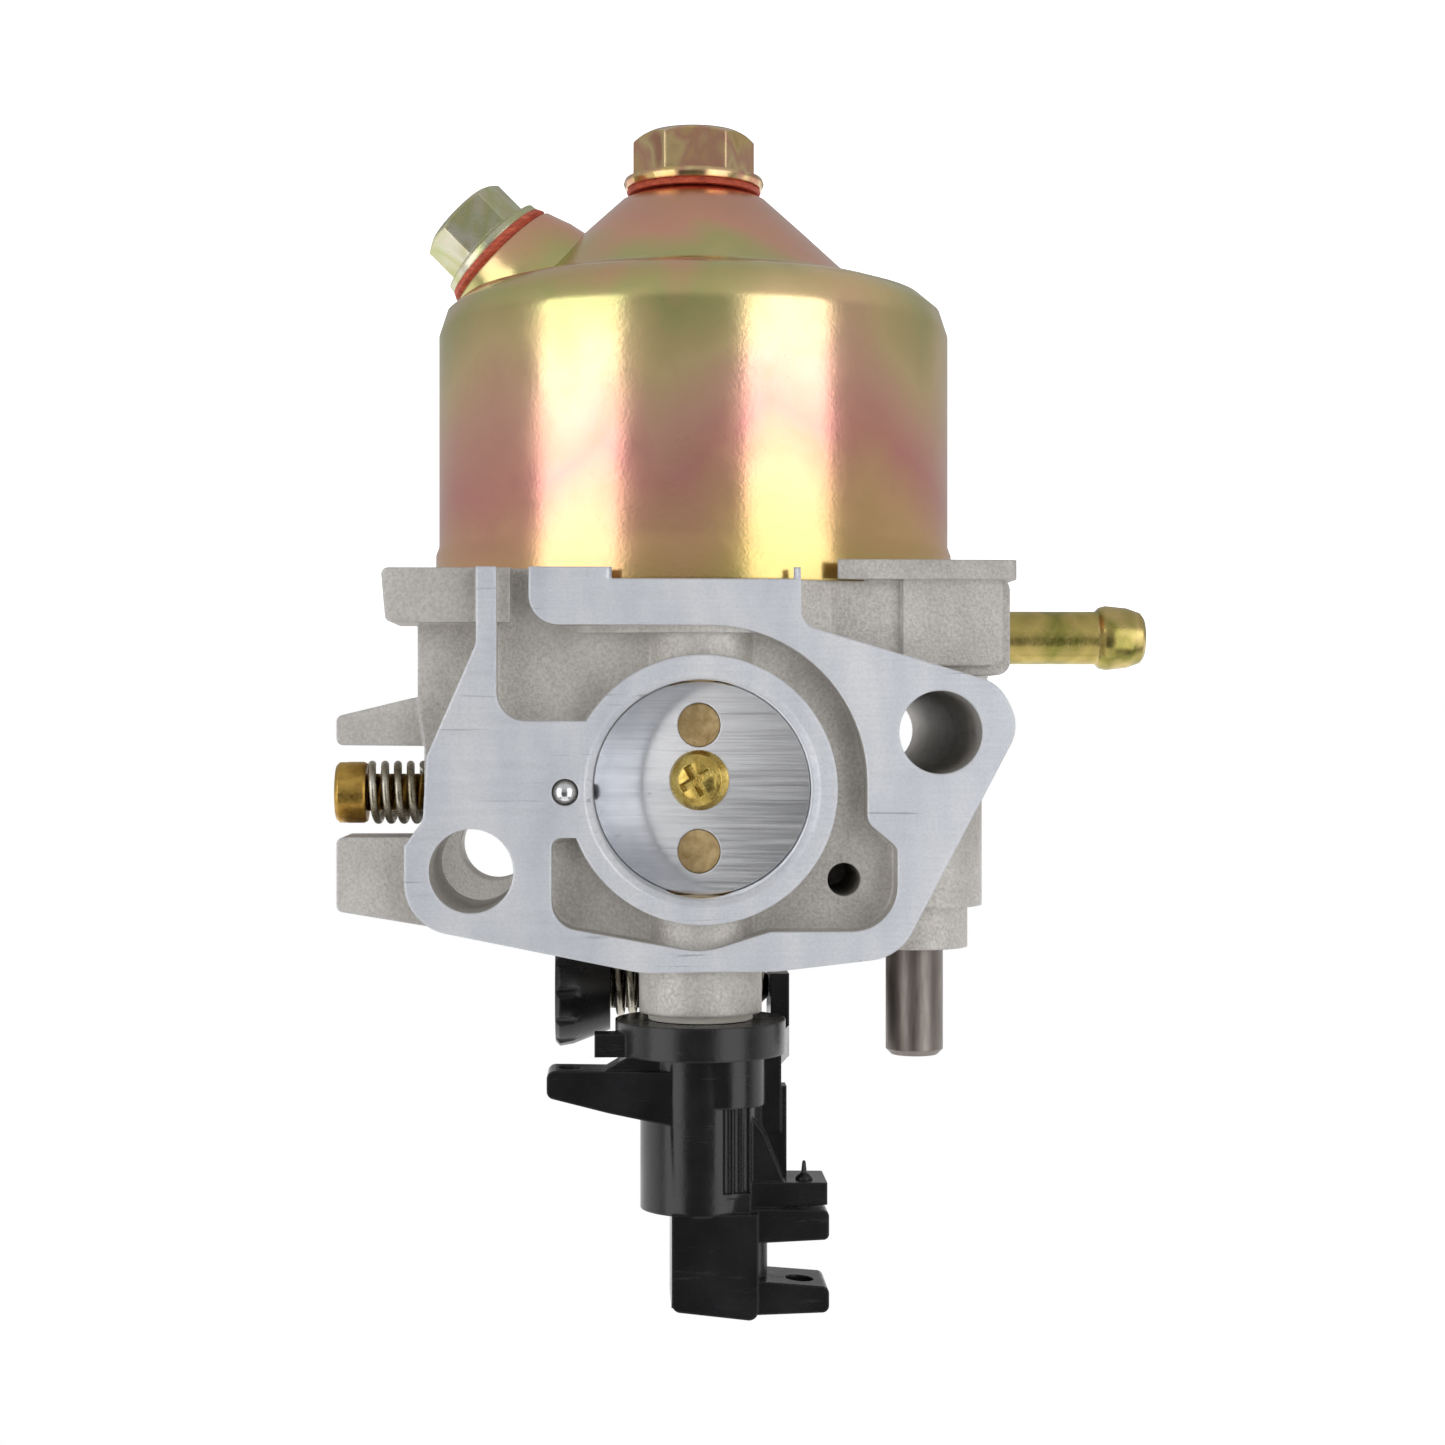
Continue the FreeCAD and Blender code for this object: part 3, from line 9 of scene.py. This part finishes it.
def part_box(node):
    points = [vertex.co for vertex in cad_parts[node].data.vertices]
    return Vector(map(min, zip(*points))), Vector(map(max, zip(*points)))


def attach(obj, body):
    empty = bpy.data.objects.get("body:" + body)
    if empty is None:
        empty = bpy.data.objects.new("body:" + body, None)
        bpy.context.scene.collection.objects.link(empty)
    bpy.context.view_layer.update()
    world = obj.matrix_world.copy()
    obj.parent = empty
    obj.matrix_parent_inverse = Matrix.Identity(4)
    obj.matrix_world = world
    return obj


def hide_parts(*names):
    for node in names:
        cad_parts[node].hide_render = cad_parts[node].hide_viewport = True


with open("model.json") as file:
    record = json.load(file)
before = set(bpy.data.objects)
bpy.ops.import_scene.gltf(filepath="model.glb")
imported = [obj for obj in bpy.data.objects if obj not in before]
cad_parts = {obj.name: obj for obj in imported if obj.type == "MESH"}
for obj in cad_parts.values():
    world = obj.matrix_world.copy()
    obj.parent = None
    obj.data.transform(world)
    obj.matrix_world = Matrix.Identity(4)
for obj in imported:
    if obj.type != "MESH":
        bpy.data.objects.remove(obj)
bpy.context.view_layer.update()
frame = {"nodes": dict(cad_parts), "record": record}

MM = 0.001


def linear(red, green, blue):
    """A colour given as it looks on a screen, 0 to 255, as the linear values that shaders use."""
    values = [part / 255 for part in (red, green, blue)]
    return [v / 12.92 if v <= 0.04045 else ((v + 0.055) / 1.055) ** 2.4 for v in values] + [1.0]


class Finish:
    """A node-based material. Its textures lie in the row frame at rest, in millimetres."""

    def __init__(self, name, metallic=0.0, edge=0.2):
        self.material = bpy.data.materials.new(name)
        self.material.use_nodes = True
        self.tree = self.material.node_tree
        self.shader = self.tree.nodes["Principled BSDF"]
        self.shader.inputs["Metallic"].default_value = metallic
        coordinates = self.add("ShaderNodeTexCoord").outputs["Object"]
        self.place = self.add("ShaderNodeVectorMath", {0: coordinates, "Scale": 1 / MM},
                              operation="SCALE").outputs[0]
        self.soft = self.add("ShaderNodeBevel", {"Radius": edge * MM}, samples=4).outputs[0]

    def add(self, kind, values=None, **settings):
        """A new node with its settings made and its inputs set or linked."""
        made = self.tree.nodes.new(kind)
        for key, value in settings.items():
            setattr(made, key, value)
        for key, value in (values or {}).items():
            self.put(made.inputs[key], value)
        return made

    def put(self, socket, value):
        """Link a socket to another node's output, or set its value."""
        if isinstance(value, bpy.types.NodeSocket):
            self.tree.links.new(value, socket)
        else:
            socket.default_value = value

    def sums(self, operation, *values, clamp=False):
        """The result of one arithmetic operation."""
        made = self.add("ShaderNodeMath", dict(enumerate(values)), operation=operation, use_clamp=clamp)
        return made.outputs[0]

    def stretched(self, stretch, turn=0.0):
        """Texture coordinates scaled along each axis and turned about Y."""
        if stretch == (1, 1, 1) and not turn:
            return self.place
        return self.add("ShaderNodeMapping", {"Vector": self.place, "Scale": stretch,
                                              "Rotation": (0, turn, 0)}).outputs[0]

    def noise(self, size, detail=3.0, rough=0.55, stretch=(1, 1, 1), turn=0.0, swirl=0.0):
        """Cloudy variation with features of about this many millimetres."""
        made = self.add("ShaderNodeTexNoise", {
            "Vector": self.stretched(stretch, turn), "Scale": 1 / size, "Detail": detail,
            "Roughness": rough, "Distortion": swirl})
        return made.outputs["Fac"]

    def span(self, value, low, high, start=0.0, end=1.0):
        """The value carried from low..high to start..end."""
        made = self.add("ShaderNodeMapRange", {
            "Value": value, "From Min": low, "From Max": high, "To Min": start, "To Max": end})
        return made.outputs["Result"]

    def ramp(self, value, stops):
        """A colour picked along stops, each (place, colour)."""
        made = self.add("ShaderNodeValToRGB", {"Fac": value})
        band = made.color_ramp.elements
        while len(band) < len(stops):
            band.new(0.5)
        for item, (spot, colour) in zip(band, stops):
            item.position = spot
            item.color = colour
        return made.outputs["Color"]

    def mix(self, share, first, second):
        """The first colour, giving way to the second as share goes from 0 to 1."""
        made = self.add("ShaderNodeMix", {0: share, 6: first, 7: second}, data_type="RGBA")
        return made.outputs[2]

    def axes(self):
        """The X, Y and Z of the shaded point in millimetres."""
        return self.add("ShaderNodeSeparateXYZ", {0: self.place}).outputs

    def reach(self, first, first_centre, second, second_centre):
        """Distance from a line along the third axis, with the two offsets it comes from."""
        off_a = self.sums("SUBTRACT", first, first_centre)
        off_b = self.sums("SUBTRACT", second, second_centre)
        squares = [self.sums("MULTIPLY", off, off) for off in (off_a, off_b)]
        return self.sums("SQRT", self.sums("ADD", *squares)), off_a, off_b

    def edges(self):
        """1 on sharp outer and inner edges, 0 on open surface; the mask along which the finishes paint
        highlights.
        """
        flat = self.add("ShaderNodeNewGeometry").outputs["Normal"]
        same = self.add("ShaderNodeVectorMath", {0: self.soft, 1: flat}, operation="DOT_PRODUCT")
        return self.span(same.outputs["Value"], 0.995, 0.86)

    def relief(self, *layers):
        """Bump layers, each (height, distance in millimetres, strength)."""
        normal = self.soft
        for height, distance, strength in layers:
            normal = self.add("ShaderNodeBump", {
                "Height": height, "Distance": distance * MM, "Strength": strength,
                "Normal": normal}).outputs[0]
        self.put(self.shader.inputs["Normal"], normal)

    def finish(self, colour, roughness):
        """Give the shader its colour and roughness, and hand the material over."""
        self.put(self.shader.inputs["Base Color"], colour)
        self.put(self.shader.inputs["Roughness"], roughness)
        return self.material


# ---------------------------------------------------------------- materials

# Places on the casting in millimetres, for the surfaces that are machined.
BORE_X, BORE_Z = 0.35, -1.0
BORED_RADIUS, BORED_DEPTH = 10.3, 17.6
BACK_FACE = 50.0
FACE_REACH = 0.05
THREAD_PITCH = 0.7


def cast_aluminium():
    """Grainy die casting, milled on both flange faces and bored through the passage."""
    f = Finish("cast_aluminium", metallic=0.6, edge=0.35)
    across, depth, height = f.axes()
    front = f.sums("COMPARE", depth, 0.0, FACE_REACH)
    back = f.sums("COMPARE", depth, BACK_FACE, FACE_REACH)
    radius, _, _ = f.reach(across, BORE_X, height, BORE_Z)
    bored = f.sums("MULTIPLY", f.sums("LESS_THAN", radius, BORED_RADIUS),
                   f.sums("LESS_THAN", depth, BORED_DEPTH))
    milled = f.sums("MAXIMUM", f.sums("MAXIMUM", front, back), bored, clamp=True)

    clouds = f.noise(9, detail=4, swirl=0.4)
    grain = f.noise(0.28, detail=2, rough=0.7)
    fine = f.noise(0.12, detail=1)
    cast = f.ramp(clouds, [(0.3, linear(188, 184, 178)), (0.5, linear(206, 202, 197)),
                           (0.72, linear(222, 219, 214))])
    cast = f.mix(f.span(grain, 0.35, 0.7, 0.0, 0.34), cast, linear(126, 122, 117))
    stains = f.span(f.noise(3.2, detail=5, rough=0.75), 0.6, 0.72, 0.0, 0.4)
    cast = f.mix(stains, cast, linear(122, 116, 108))

    sheen = f.noise(5, detail=3, stretch=(1, 1, 0.35), turn=0.5)
    lines = f.noise(1.1, detail=2, stretch=(0.09, 1, 2.4), turn=0.25)
    scratch = f.span(f.noise(2.4, detail=3, rough=0.6, stretch=(0.12, 1, 3.4), turn=1.9), 0.66, 0.7)
    nicks = f.span(f.noise(1.6, detail=4, rough=0.75), 0.68, 0.74)
    bright = f.ramp(sheen, [(0.3, linear(214, 218, 226)), (0.5, linear(229, 232, 238)),
                            (0.7, linear(242, 243, 246))])
    bright = f.mix(f.span(lines, 0.4, 0.62, 0.0, 0.13), bright, linear(176, 180, 188))
    bright = f.mix(f.span(grain, 0.4, 0.75, 0.0, 0.22), bright, linear(158, 160, 170))
    bright = f.mix(f.sums("MULTIPLY", scratch, 0.45), bright, linear(126, 128, 134))
    bright = f.mix(f.sums("MULTIPLY", nicks, 0.6), bright, linear(112, 112, 116))

    colour = f.mix(milled, cast, bright)
    # painted highlight: sharp outer and inner edges are lightened towards pale grey
    colour = f.mix(f.sums("MULTIPLY", f.edges(), 0.45), colour, linear(228, 229, 232))
    rough = f.span(grain, 0.3, 0.7, 0.5, 0.66)
    smooth = f.span(lines, 0.3, 0.7, 0.4, 0.52)
    f.relief((grain, 0.12, f.sums("SUBTRACT", 0.55, f.sums("MULTIPLY", milled, 0.52))),
             (fine, 0.05, 0.25), (lines, 0.03, f.sums("MULTIPLY", milled, 0.3)))
    level = f.sums("ADD", rough, f.sums("MULTIPLY", milled, f.sums("SUBTRACT", smooth, rough)))
    return f.finish(colour, level)


def zinc(name, stops, size, rough, height_share, low, high):
    """Bright plated steel with the drifting tints of a passivated coating."""
    f = Finish(name, metallic=1.0, edge=0.3)
    _, _, height = f.axes()
    drift = f.noise(size, detail=2, rough=0.5, stretch=(1, 1, 0.6), swirl=0.4)
    level = f.span(height, low, high, 0.0, height_share)
    tint = f.sums("ADD", level, f.span(drift, 0.25, 0.75, 0.0, 1 - height_share), clamp=True)
    colour = f.ramp(tint, stops)
    blotch = f.noise(size * 0.28, detail=4, rough=0.65, swirl=0.5)
    colour = f.mix(f.span(blotch, 0.45, 0.75, 0.0, 0.3), colour, linear(214, 178, 128))
    specks = f.span(f.noise(0.5, detail=3, rough=0.8), 0.64, 0.74)
    colour = f.mix(f.sums("MULTIPLY", specks, 0.3), colour, linear(120, 98, 66))
    # painted highlight: sharp outer and inner edges are lightened towards pale gold
    colour = f.mix(f.sums("MULTIPLY", f.edges(), 0.4), colour, linear(236, 222, 184))
    f.relief((f.noise(0.35, detail=2), 0.05, 0.16), (f.noise(7, detail=2), 0.4, 0.1))
    return f.finish(colour, f.span(blotch, 0.3, 0.75, rough, rough + 0.12))


def yellow_zinc():
    return zinc("yellow_zinc_steel", [
        (0.0, linear(224, 174, 146)),
        (0.1, linear(226, 150, 136)),
        (0.2, linear(218, 162, 140)),
        (0.31, linear(230, 170, 144)),
        (0.39, linear(196, 192, 128)),
        (0.48, linear(240, 212, 158)),
        (0.58, linear(244, 190, 166)),
        (0.68, linear(236, 166, 154)),
        (0.79, linear(240, 192, 144)),
        (0.89, linear(224, 194, 124)),
        (0.95, linear(184, 172, 108)),
        (1.0, linear(230, 194, 144)),
    ], 20, 0.15, 0.76, -60.0, -17.0)


def bolt_zinc():
    return zinc("bolt_zinc_steel", [
        (0.0, linear(190, 150, 96)),
        (0.3, linear(226, 196, 132)),
        (0.45, linear(212, 160, 134)),
        (0.6, linear(232, 206, 150)),
        (0.8, linear(188, 136, 110)),
        (1.0, linear(220, 190, 120)),
    ], 4, 0.14, 0.1, -70.0, 40.0)


def green_zinc():
    return zinc("green_zinc_steel", [
        (0.0, linear(186, 186, 158)),
        (0.3, linear(206, 206, 178)),
        (0.5, linear(190, 194, 142)),
        (0.7, linear(214, 210, 190)),
        (1.0, linear(176, 174, 126)),
    ], 5, 0.22, 0.1, -70.0, 40.0)


def spigot_zinc():
    return zinc("olive_zinc_steel", [
        (0.0, linear(150, 140, 74)),
        (0.3, linear(196, 176, 104)),
        (0.5, linear(146, 142, 72)),
        (0.7, linear(206, 184, 120)),
        (1.0, linear(160, 146, 84)),
    ], 5, 0.2, 0.1, -70.0, 40.0)


def brushed_aluminium():
    """Rolled sheet with fine parallel brushing."""
    f = Finish("bright_aluminium", metallic=1.0, edge=0.12)
    brush = f.noise(0.8, detail=3, stretch=(0.06, 0.06, 3.2), turn=0.35)
    broad = f.noise(6, detail=3, stretch=(0.4, 0.4, 1.6), turn=0.35)
    colour = f.ramp(broad, [(0.3, linear(214, 215, 218)), (0.7, linear(246, 246, 248))])
    colour = f.mix(f.span(brush, 0.35, 0.7, 0.0, 0.2), colour, linear(168, 171, 178))
    dots = f.span(f.noise(1.5, detail=2, rough=0.8), 0.72, 0.76)
    colour = f.mix(f.sums("MULTIPLY", dots, 0.6), colour, linear(110, 112, 118))
    f.relief((brush, 0.03, 0.12))
    return f.finish(colour, f.span(brush, 0.3, 0.7, 0.15, 0.24))


def plain_metal(name, light, dark, size, low, high, edge=0.15, stretch=(1, 1, 1), grain=0.3, thread=None):
    """Turned or drawn metal: streaky tint, fine tool marks and painted highlights on its edges.
    thread gives the Y, Z and radius of a screw along X whose turns are cut into the shank, with painted
    shade in their grooves."""
    f = Finish(name, metallic=1.0, edge=edge)
    drift = f.noise(size, detail=4, rough=0.6, stretch=stretch, swirl=0.3)
    marks = f.noise(grain, detail=2, stretch=stretch)
    colour = f.ramp(drift, [(0.32, dark), (0.68, light)])
    stains = f.span(f.noise(size * 0.5, detail=5, rough=0.75), 0.6, 0.72)
    colour = f.mix(f.sums("MULTIPLY", stains, 0.35), colour, [value * 0.45 for value in dark[:3]] + [1.0])
    # painted highlight: outer and inner edges are lightened to a brighter tint of the metal
    painted_edge_highlight = [min(1.0, value * 1.35) for value in light[:3]] + [1.0]
    colour = f.mix(f.sums("MULTIPLY", f.edges(), 0.5), colour, painted_edge_highlight)
    layers = [(marks, 0.05, 0.3)]
    if thread:
        along, depth, height = f.axes()
        centre_y, centre_z, shank = thread
        radius, off_y, off_z = f.reach(depth, centre_y, height, centre_z)
        wave = f.sums("SINE", f.sums("ADD", f.sums("MULTIPLY", along, 2 * math.pi / THREAD_PITCH),
                                     f.sums("ARCTAN2", off_z, off_y)))
        cut = f.sums("LESS_THAN", radius, shank)
        # painted shade in the thread's grooves: the shank darkens towards a deep tint where the sine wave
        # dips
        colour = f.mix(f.sums("MULTIPLY", f.span(wave, 0.2, -0.9), cut),
                       colour, [value * 0.3 for value in dark[:3]] + [1.0])
        layers.append((wave, 0.14, f.sums("MULTIPLY", cut, 0.8)))
    f.relief(*layers)
    return f.finish(colour, f.span(marks, 0.3, 0.7, low, high))


def moulded(name, light, dark, low, high, edge=0.25, scuff_and_highlight=0.12, grain=0.35):
    """Moulded plastic or rubber with a faint texture, scuffs, and painted highlights on its edges."""
    f = Finish(name, edge=edge)
    drift = f.noise(6, detail=4)
    marks = f.noise(grain, detail=2, rough=0.6)
    colour = f.ramp(drift, [(0.3, dark), (0.7, light)])
    scuffs = f.span(f.noise(1.4, detail=4, rough=0.7, stretch=(0.25, 1, 2.2), turn=0.8), 0.6, 0.7)
    # pale is the colour of the real scuffs and also of the painted highlight laid along the edges
    pale = [min(1.0, value * 2.4 + 0.02) for value in light[:3]] + [1.0]
    colour = f.mix(f.sums("MULTIPLY", scuffs, scuff_and_highlight), colour, pale)
    # painted highlight: outer and inner edges are lightened towards the pale colour
    colour = f.mix(f.sums("MULTIPLY", f.edges(), scuff_and_highlight * 2.2), colour, pale)
    f.relief((marks, 0.05, 0.22), (f.noise(4, detail=2), 0.25, 0.12))
    level = f.sums("ADD", f.span(drift, 0.3, 0.7, low, high), f.sums("MULTIPLY", scuffs, 0.15))
    return f.finish(colour, level)


def fibre():
    """Red vulcanised fibre washer, with short pale fibres."""
    f = Finish("red_fibre", edge=0.1)
    strands = f.noise(0.5, detail=4, rough=0.7, stretch=(0.4, 1, 1.6), turn=0.6)
    colour = f.ramp(strands, [(0.3, linear(150, 52, 34)), (0.6, linear(204, 92, 62)),
                              (0.8, linear(226, 140, 108))])
    f.relief((strands, 0.08, 0.4))
    return f.finish(colour, f.span(strands, 0.3, 0.7, 0.5, 0.68))


MATERIALS = {
    "cast_aluminium": cast_aluminium(),
    "yellow_zinc_steel": yellow_zinc(),
    "green_zinc_steel": green_zinc(),
    "bolt_zinc_steel": bolt_zinc(),
    "olive_zinc_steel": spigot_zinc(),
    "bright_aluminium": brushed_aluminium(),
    "grey_steel": plain_metal("grey_steel", linear(150, 142, 136), linear(100, 92, 88), 6, 0.34, 0.5,
                              stretch=(1, 1, 0.12)),
    "spring_steel": plain_metal("spring_steel", linear(206, 202, 190), linear(150, 142, 122),
                                2.4, 0.24, 0.36),
    "brass": plain_metal("brass", linear(214, 176, 92), linear(150, 112, 48), 2.6, 0.26, 0.4,
                         thread=(8.0, -0.6, 1.8)),
    "stop_screw": plain_metal("stop_screw", linear(200, 196, 184), linear(140, 134, 118),
                              2.4, 0.24, 0.36, thread=(17.0, 17.6, 2.2)),
    "gold_zinc": plain_metal("gold_zinc", linear(232, 206, 120), linear(170, 138, 62), 1.8, 0.2, 0.32),
    "disc_brass": plain_metal("disc_brass", linear(196, 172, 128), linear(152, 126, 84), 1.2, 0.4, 0.55,
                              grain=0.2),
    "black_plastic": moulded("black_plastic", linear(27, 27, 29), linear(15, 15, 17),
                             0.2, 0.32, scuff_and_highlight=0.08),
    "white_plastic": moulded("white_plastic", linear(226, 222, 212), linear(206, 200, 188),
                             0.35, 0.5, scuff_and_highlight=0.3),
    "float_plastic": moulded("float_plastic", linear(58, 52, 46), linear(40, 36, 32), 0.35, 0.5),
    "black_rubber": moulded("black_rubber", linear(34, 33, 32), linear(22, 21, 20), 0.6, 0.75, scuff_and_highlight=0.2),
    "red_fibre": fibre(),
}

SPECIAL = {
    "bowl_bolt": "bolt_zinc_steel",
    "fuel_inlet_spigot": "olive_zinc_steel",
    "idle_speed_screw": "stop_screw",
    "throttle_plate_screw": "gold_zinc",
    "throttle_shaft": "disc_brass",
}


# ---------------------------------------------------------------- pieces

BODIES = frame["record"]["behaviour"]["bodies"]
BODY_OF = {node: body for body, members in BODIES.items() for node in members}
SLOT_OF = {item["node"]: item["material_slot"] for item in frame["record"]["subparts"]}


def skin(node, crease=32.0):
    """The node's own shape as a welded, smoothly shaded mesh that stands for it."""
    mesh = bpy.data.meshes.new(node + "_skin")
    made = bmesh.new()
    made.from_mesh(frame["nodes"][node].data)
    bmesh.ops.remove_doubles(made, verts=made.verts, dist=0.002 * MM)
    bmesh.ops.dissolve_degenerate(made, edges=made.edges, dist=0.0005 * MM)
    made.verts.index_update()
    mesh.from_pydata([v.co for v in made.verts], [],
                     [[v.index for v in face.verts] for face in made.faces])
    made.free()
    mesh.materials.append(MATERIALS[SPECIAL.get(node, SLOT_OF[node])])
    mesh.shade_smooth()
    mesh.set_sharp_from_angle(angle=math.radians(crease))
    piece = bpy.data.objects.new(node + "_skin", mesh)
    bpy.context.scene.collection.objects.link(piece)
    shading = piece.modifiers.new("shading", "WEIGHTED_NORMAL")
    shading.mode = "FACE_AREA_WITH_ANGLE"
    shading.weight = 90
    shading.keep_sharp = True
    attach(piece, BODY_OF[node])
    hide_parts(node)
    return piece


for node in sorted(frame["nodes"]):
    skin(node)


def fork_nib(steps=24):
    """Pointed moulding nib under the lever's top fork tab."""
    profile = ((0.75, -0.4), (0.75, 0.1), (0.6, 0.25), (0.26, 0.5), (0.16, 1.4), (0.08, 1.55))
    made = bmesh.new()
    rings = []
    for radius, drop in profile:
        turns = [2 * math.pi * step / steps for step in range(steps)]
        rings.append([made.verts.new((radius * math.cos(a) * MM, radius * math.sin(a) * MM, -drop * MM))
                      for a in turns])
    for upper, lower in zip(rings, rings[1:]):
        for step in range(steps):
            after = (step + 1) % steps
            made.faces.new((upper[step], lower[step], lower[after], upper[after]))
    made.faces.new(rings[0][::-1])
    made.faces.new(rings[-1])
    bmesh.ops.recalc_face_normals(made, faces=made.faces)
    mesh = bpy.data.meshes.new("lever_fork_nib")
    made.to_mesh(mesh)
    made.free()
    mesh.materials.append(MATERIALS["black_plastic"])
    mesh.shade_smooth()
    mesh.set_sharp_from_angle(angle=math.radians(40))
    low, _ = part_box("throttle_lever")
    base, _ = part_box("throttle_shaft_washer")
    nib = bpy.data.objects.new("lever_fork_nib", mesh)
    nib.location = (low.x + 2.0 * MM, 4.2 * MM, base.z + 14.5 * MM)
    bpy.context.scene.collection.objects.link(nib)
    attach(nib, "throttle")


fork_nib()


# ---------------------------------------------------------------- floor, light and camera

def stage_floor():
    """A wide pale sheet under the part."""
    low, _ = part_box("bowl_bolt")
    mesh = bpy.data.meshes.new("floor")
    made = bmesh.new()
    bmesh.ops.create_grid(made, x_segments=1, y_segments=1, size=30)
    made.to_mesh(mesh)
    made.free()
    floor = bpy.data.objects.new("floor", mesh)
    floor.location.z = low.z - 0.25
    bpy.context.scene.collection.objects.link(floor)
    material = bpy.data.materials.new("floor_paper")
    material.use_nodes = True
    tree = material.node_tree
    shader = tree.nodes["Principled BSDF"]
    shader.inputs["Base Color"].default_value = (0.5, 0.5, 0.5, 1)
    shader.inputs["Roughness"].default_value = 0.9
    shader.inputs["Emission Color"].default_value = (1, 1, 1, 1)
    seen = tree.nodes.new("ShaderNodeLightPath")
    glow = tree.nodes.new("ShaderNodeMath")
    glow.operation = "MULTIPLY"
    glow.inputs[1].default_value = 1.0
    tree.links.new(seen.outputs["Is Camera Ray"], glow.inputs[0])
    tree.links.new(glow.outputs[0], shader.inputs["Emission Strength"])
    mesh.materials.append(material)


def soft_box(name, azimuth, lift, distance, width, height, power):
    """A rectangular light that faces the part; azimuth is measured from -Y towards +X."""
    light = bpy.data.lights.new(name, "AREA")
    light.shape = "RECTANGLE"
    light.size = width
    light.size_y = height
    light.energy = power
    lamp = bpy.data.objects.new(name, light)
    turn = math.radians(azimuth)
    aim = Vector((0, 0.02, -0.01))
    lamp.location = aim + distance * Vector((math.sin(turn), -math.cos(turn), lift)).normalized()
    lamp.rotation_euler = (aim - lamp.location).to_track_quat("-Z", "Y").to_euler()
    bpy.context.scene.collection.objects.link(lamp)


def studio_world():
    """White to the camera; for light it is bright behind the part and dim in front."""
    world = bpy.data.worlds.new("studio")
    bpy.context.scene.world = world
    world.use_nodes = True
    tree = world.node_tree
    tree.nodes.clear()
    direction = tree.nodes.new("ShaderNodeTexCoord")
    parts = tree.nodes.new("ShaderNodeSeparateXYZ")
    level = tree.nodes.new("ShaderNodeMapRange")
    level.interpolation_type = "SMOOTHSTEP"
    for key, value in (("From Min", -0.5), ("From Max", 0.15), ("To Min", 0.09), ("To Max", 1.15)):
        level.inputs[key].default_value = value
    rays = tree.nodes.new("ShaderNodeLightPath")
    choice = tree.nodes.new("ShaderNodeMix")
    choice.inputs["B"].default_value = 1.0
    background = tree.nodes.new("ShaderNodeBackground")
    background.inputs["Color"].default_value = (1, 1, 1, 1)
    output = tree.nodes.new("ShaderNodeOutputWorld")
    links = tree.links
    links.new(direction.outputs["Generated"], parts.inputs[0])
    links.new(parts.outputs["Y"], level.inputs["Value"])
    links.new(level.outputs["Result"], choice.inputs["A"])
    links.new(rays.outputs["Is Camera Ray"], choice.inputs["Factor"])
    links.new(choice.outputs["Result"], background.inputs["Strength"])
    links.new(background.outputs[0], output.inputs["Surface"])


def studio_camera():
    """Level with the flange and a little to its side; rolled half a turn, so the bowl is on top."""
    turn = math.radians(2.5)
    distance = 0.21
    forward = Vector((-math.sin(turn), math.cos(turn), 0))
    up = Vector((0, 0, -1))
    right = forward.cross(up)
    place = Matrix((right, up, -forward)).transposed().to_4x4()
    place.translation = Vector((-0.00133, 0, -0.00677)) - distance * forward
    data = bpy.data.cameras.new("camera")
    data.sensor_width = 36
    data.lens = 61.06
    data.clip_start = 0.01
    camera = bpy.data.objects.new("camera", data)
    camera.matrix_world = place
    bpy.context.scene.collection.objects.link(camera)
    bpy.context.scene.camera = camera


stage_floor()
soft_box("box_right", 53, 0.0, 0.6, 0.42, 0.9, 2.05)
soft_box("box_left", -40, 0.0, 0.6, 0.42, 0.9, 2.05)
soft_box("box_top", 5, 1.6, 0.7, 0.7, 0.5, 0.9)
soft_box("box_low", 0, -1.2, 0.7, 0.5, 0.4, 0.5)
studio_world()
studio_camera()
bpy.context.scene.view_settings.view_transform = "Standard"
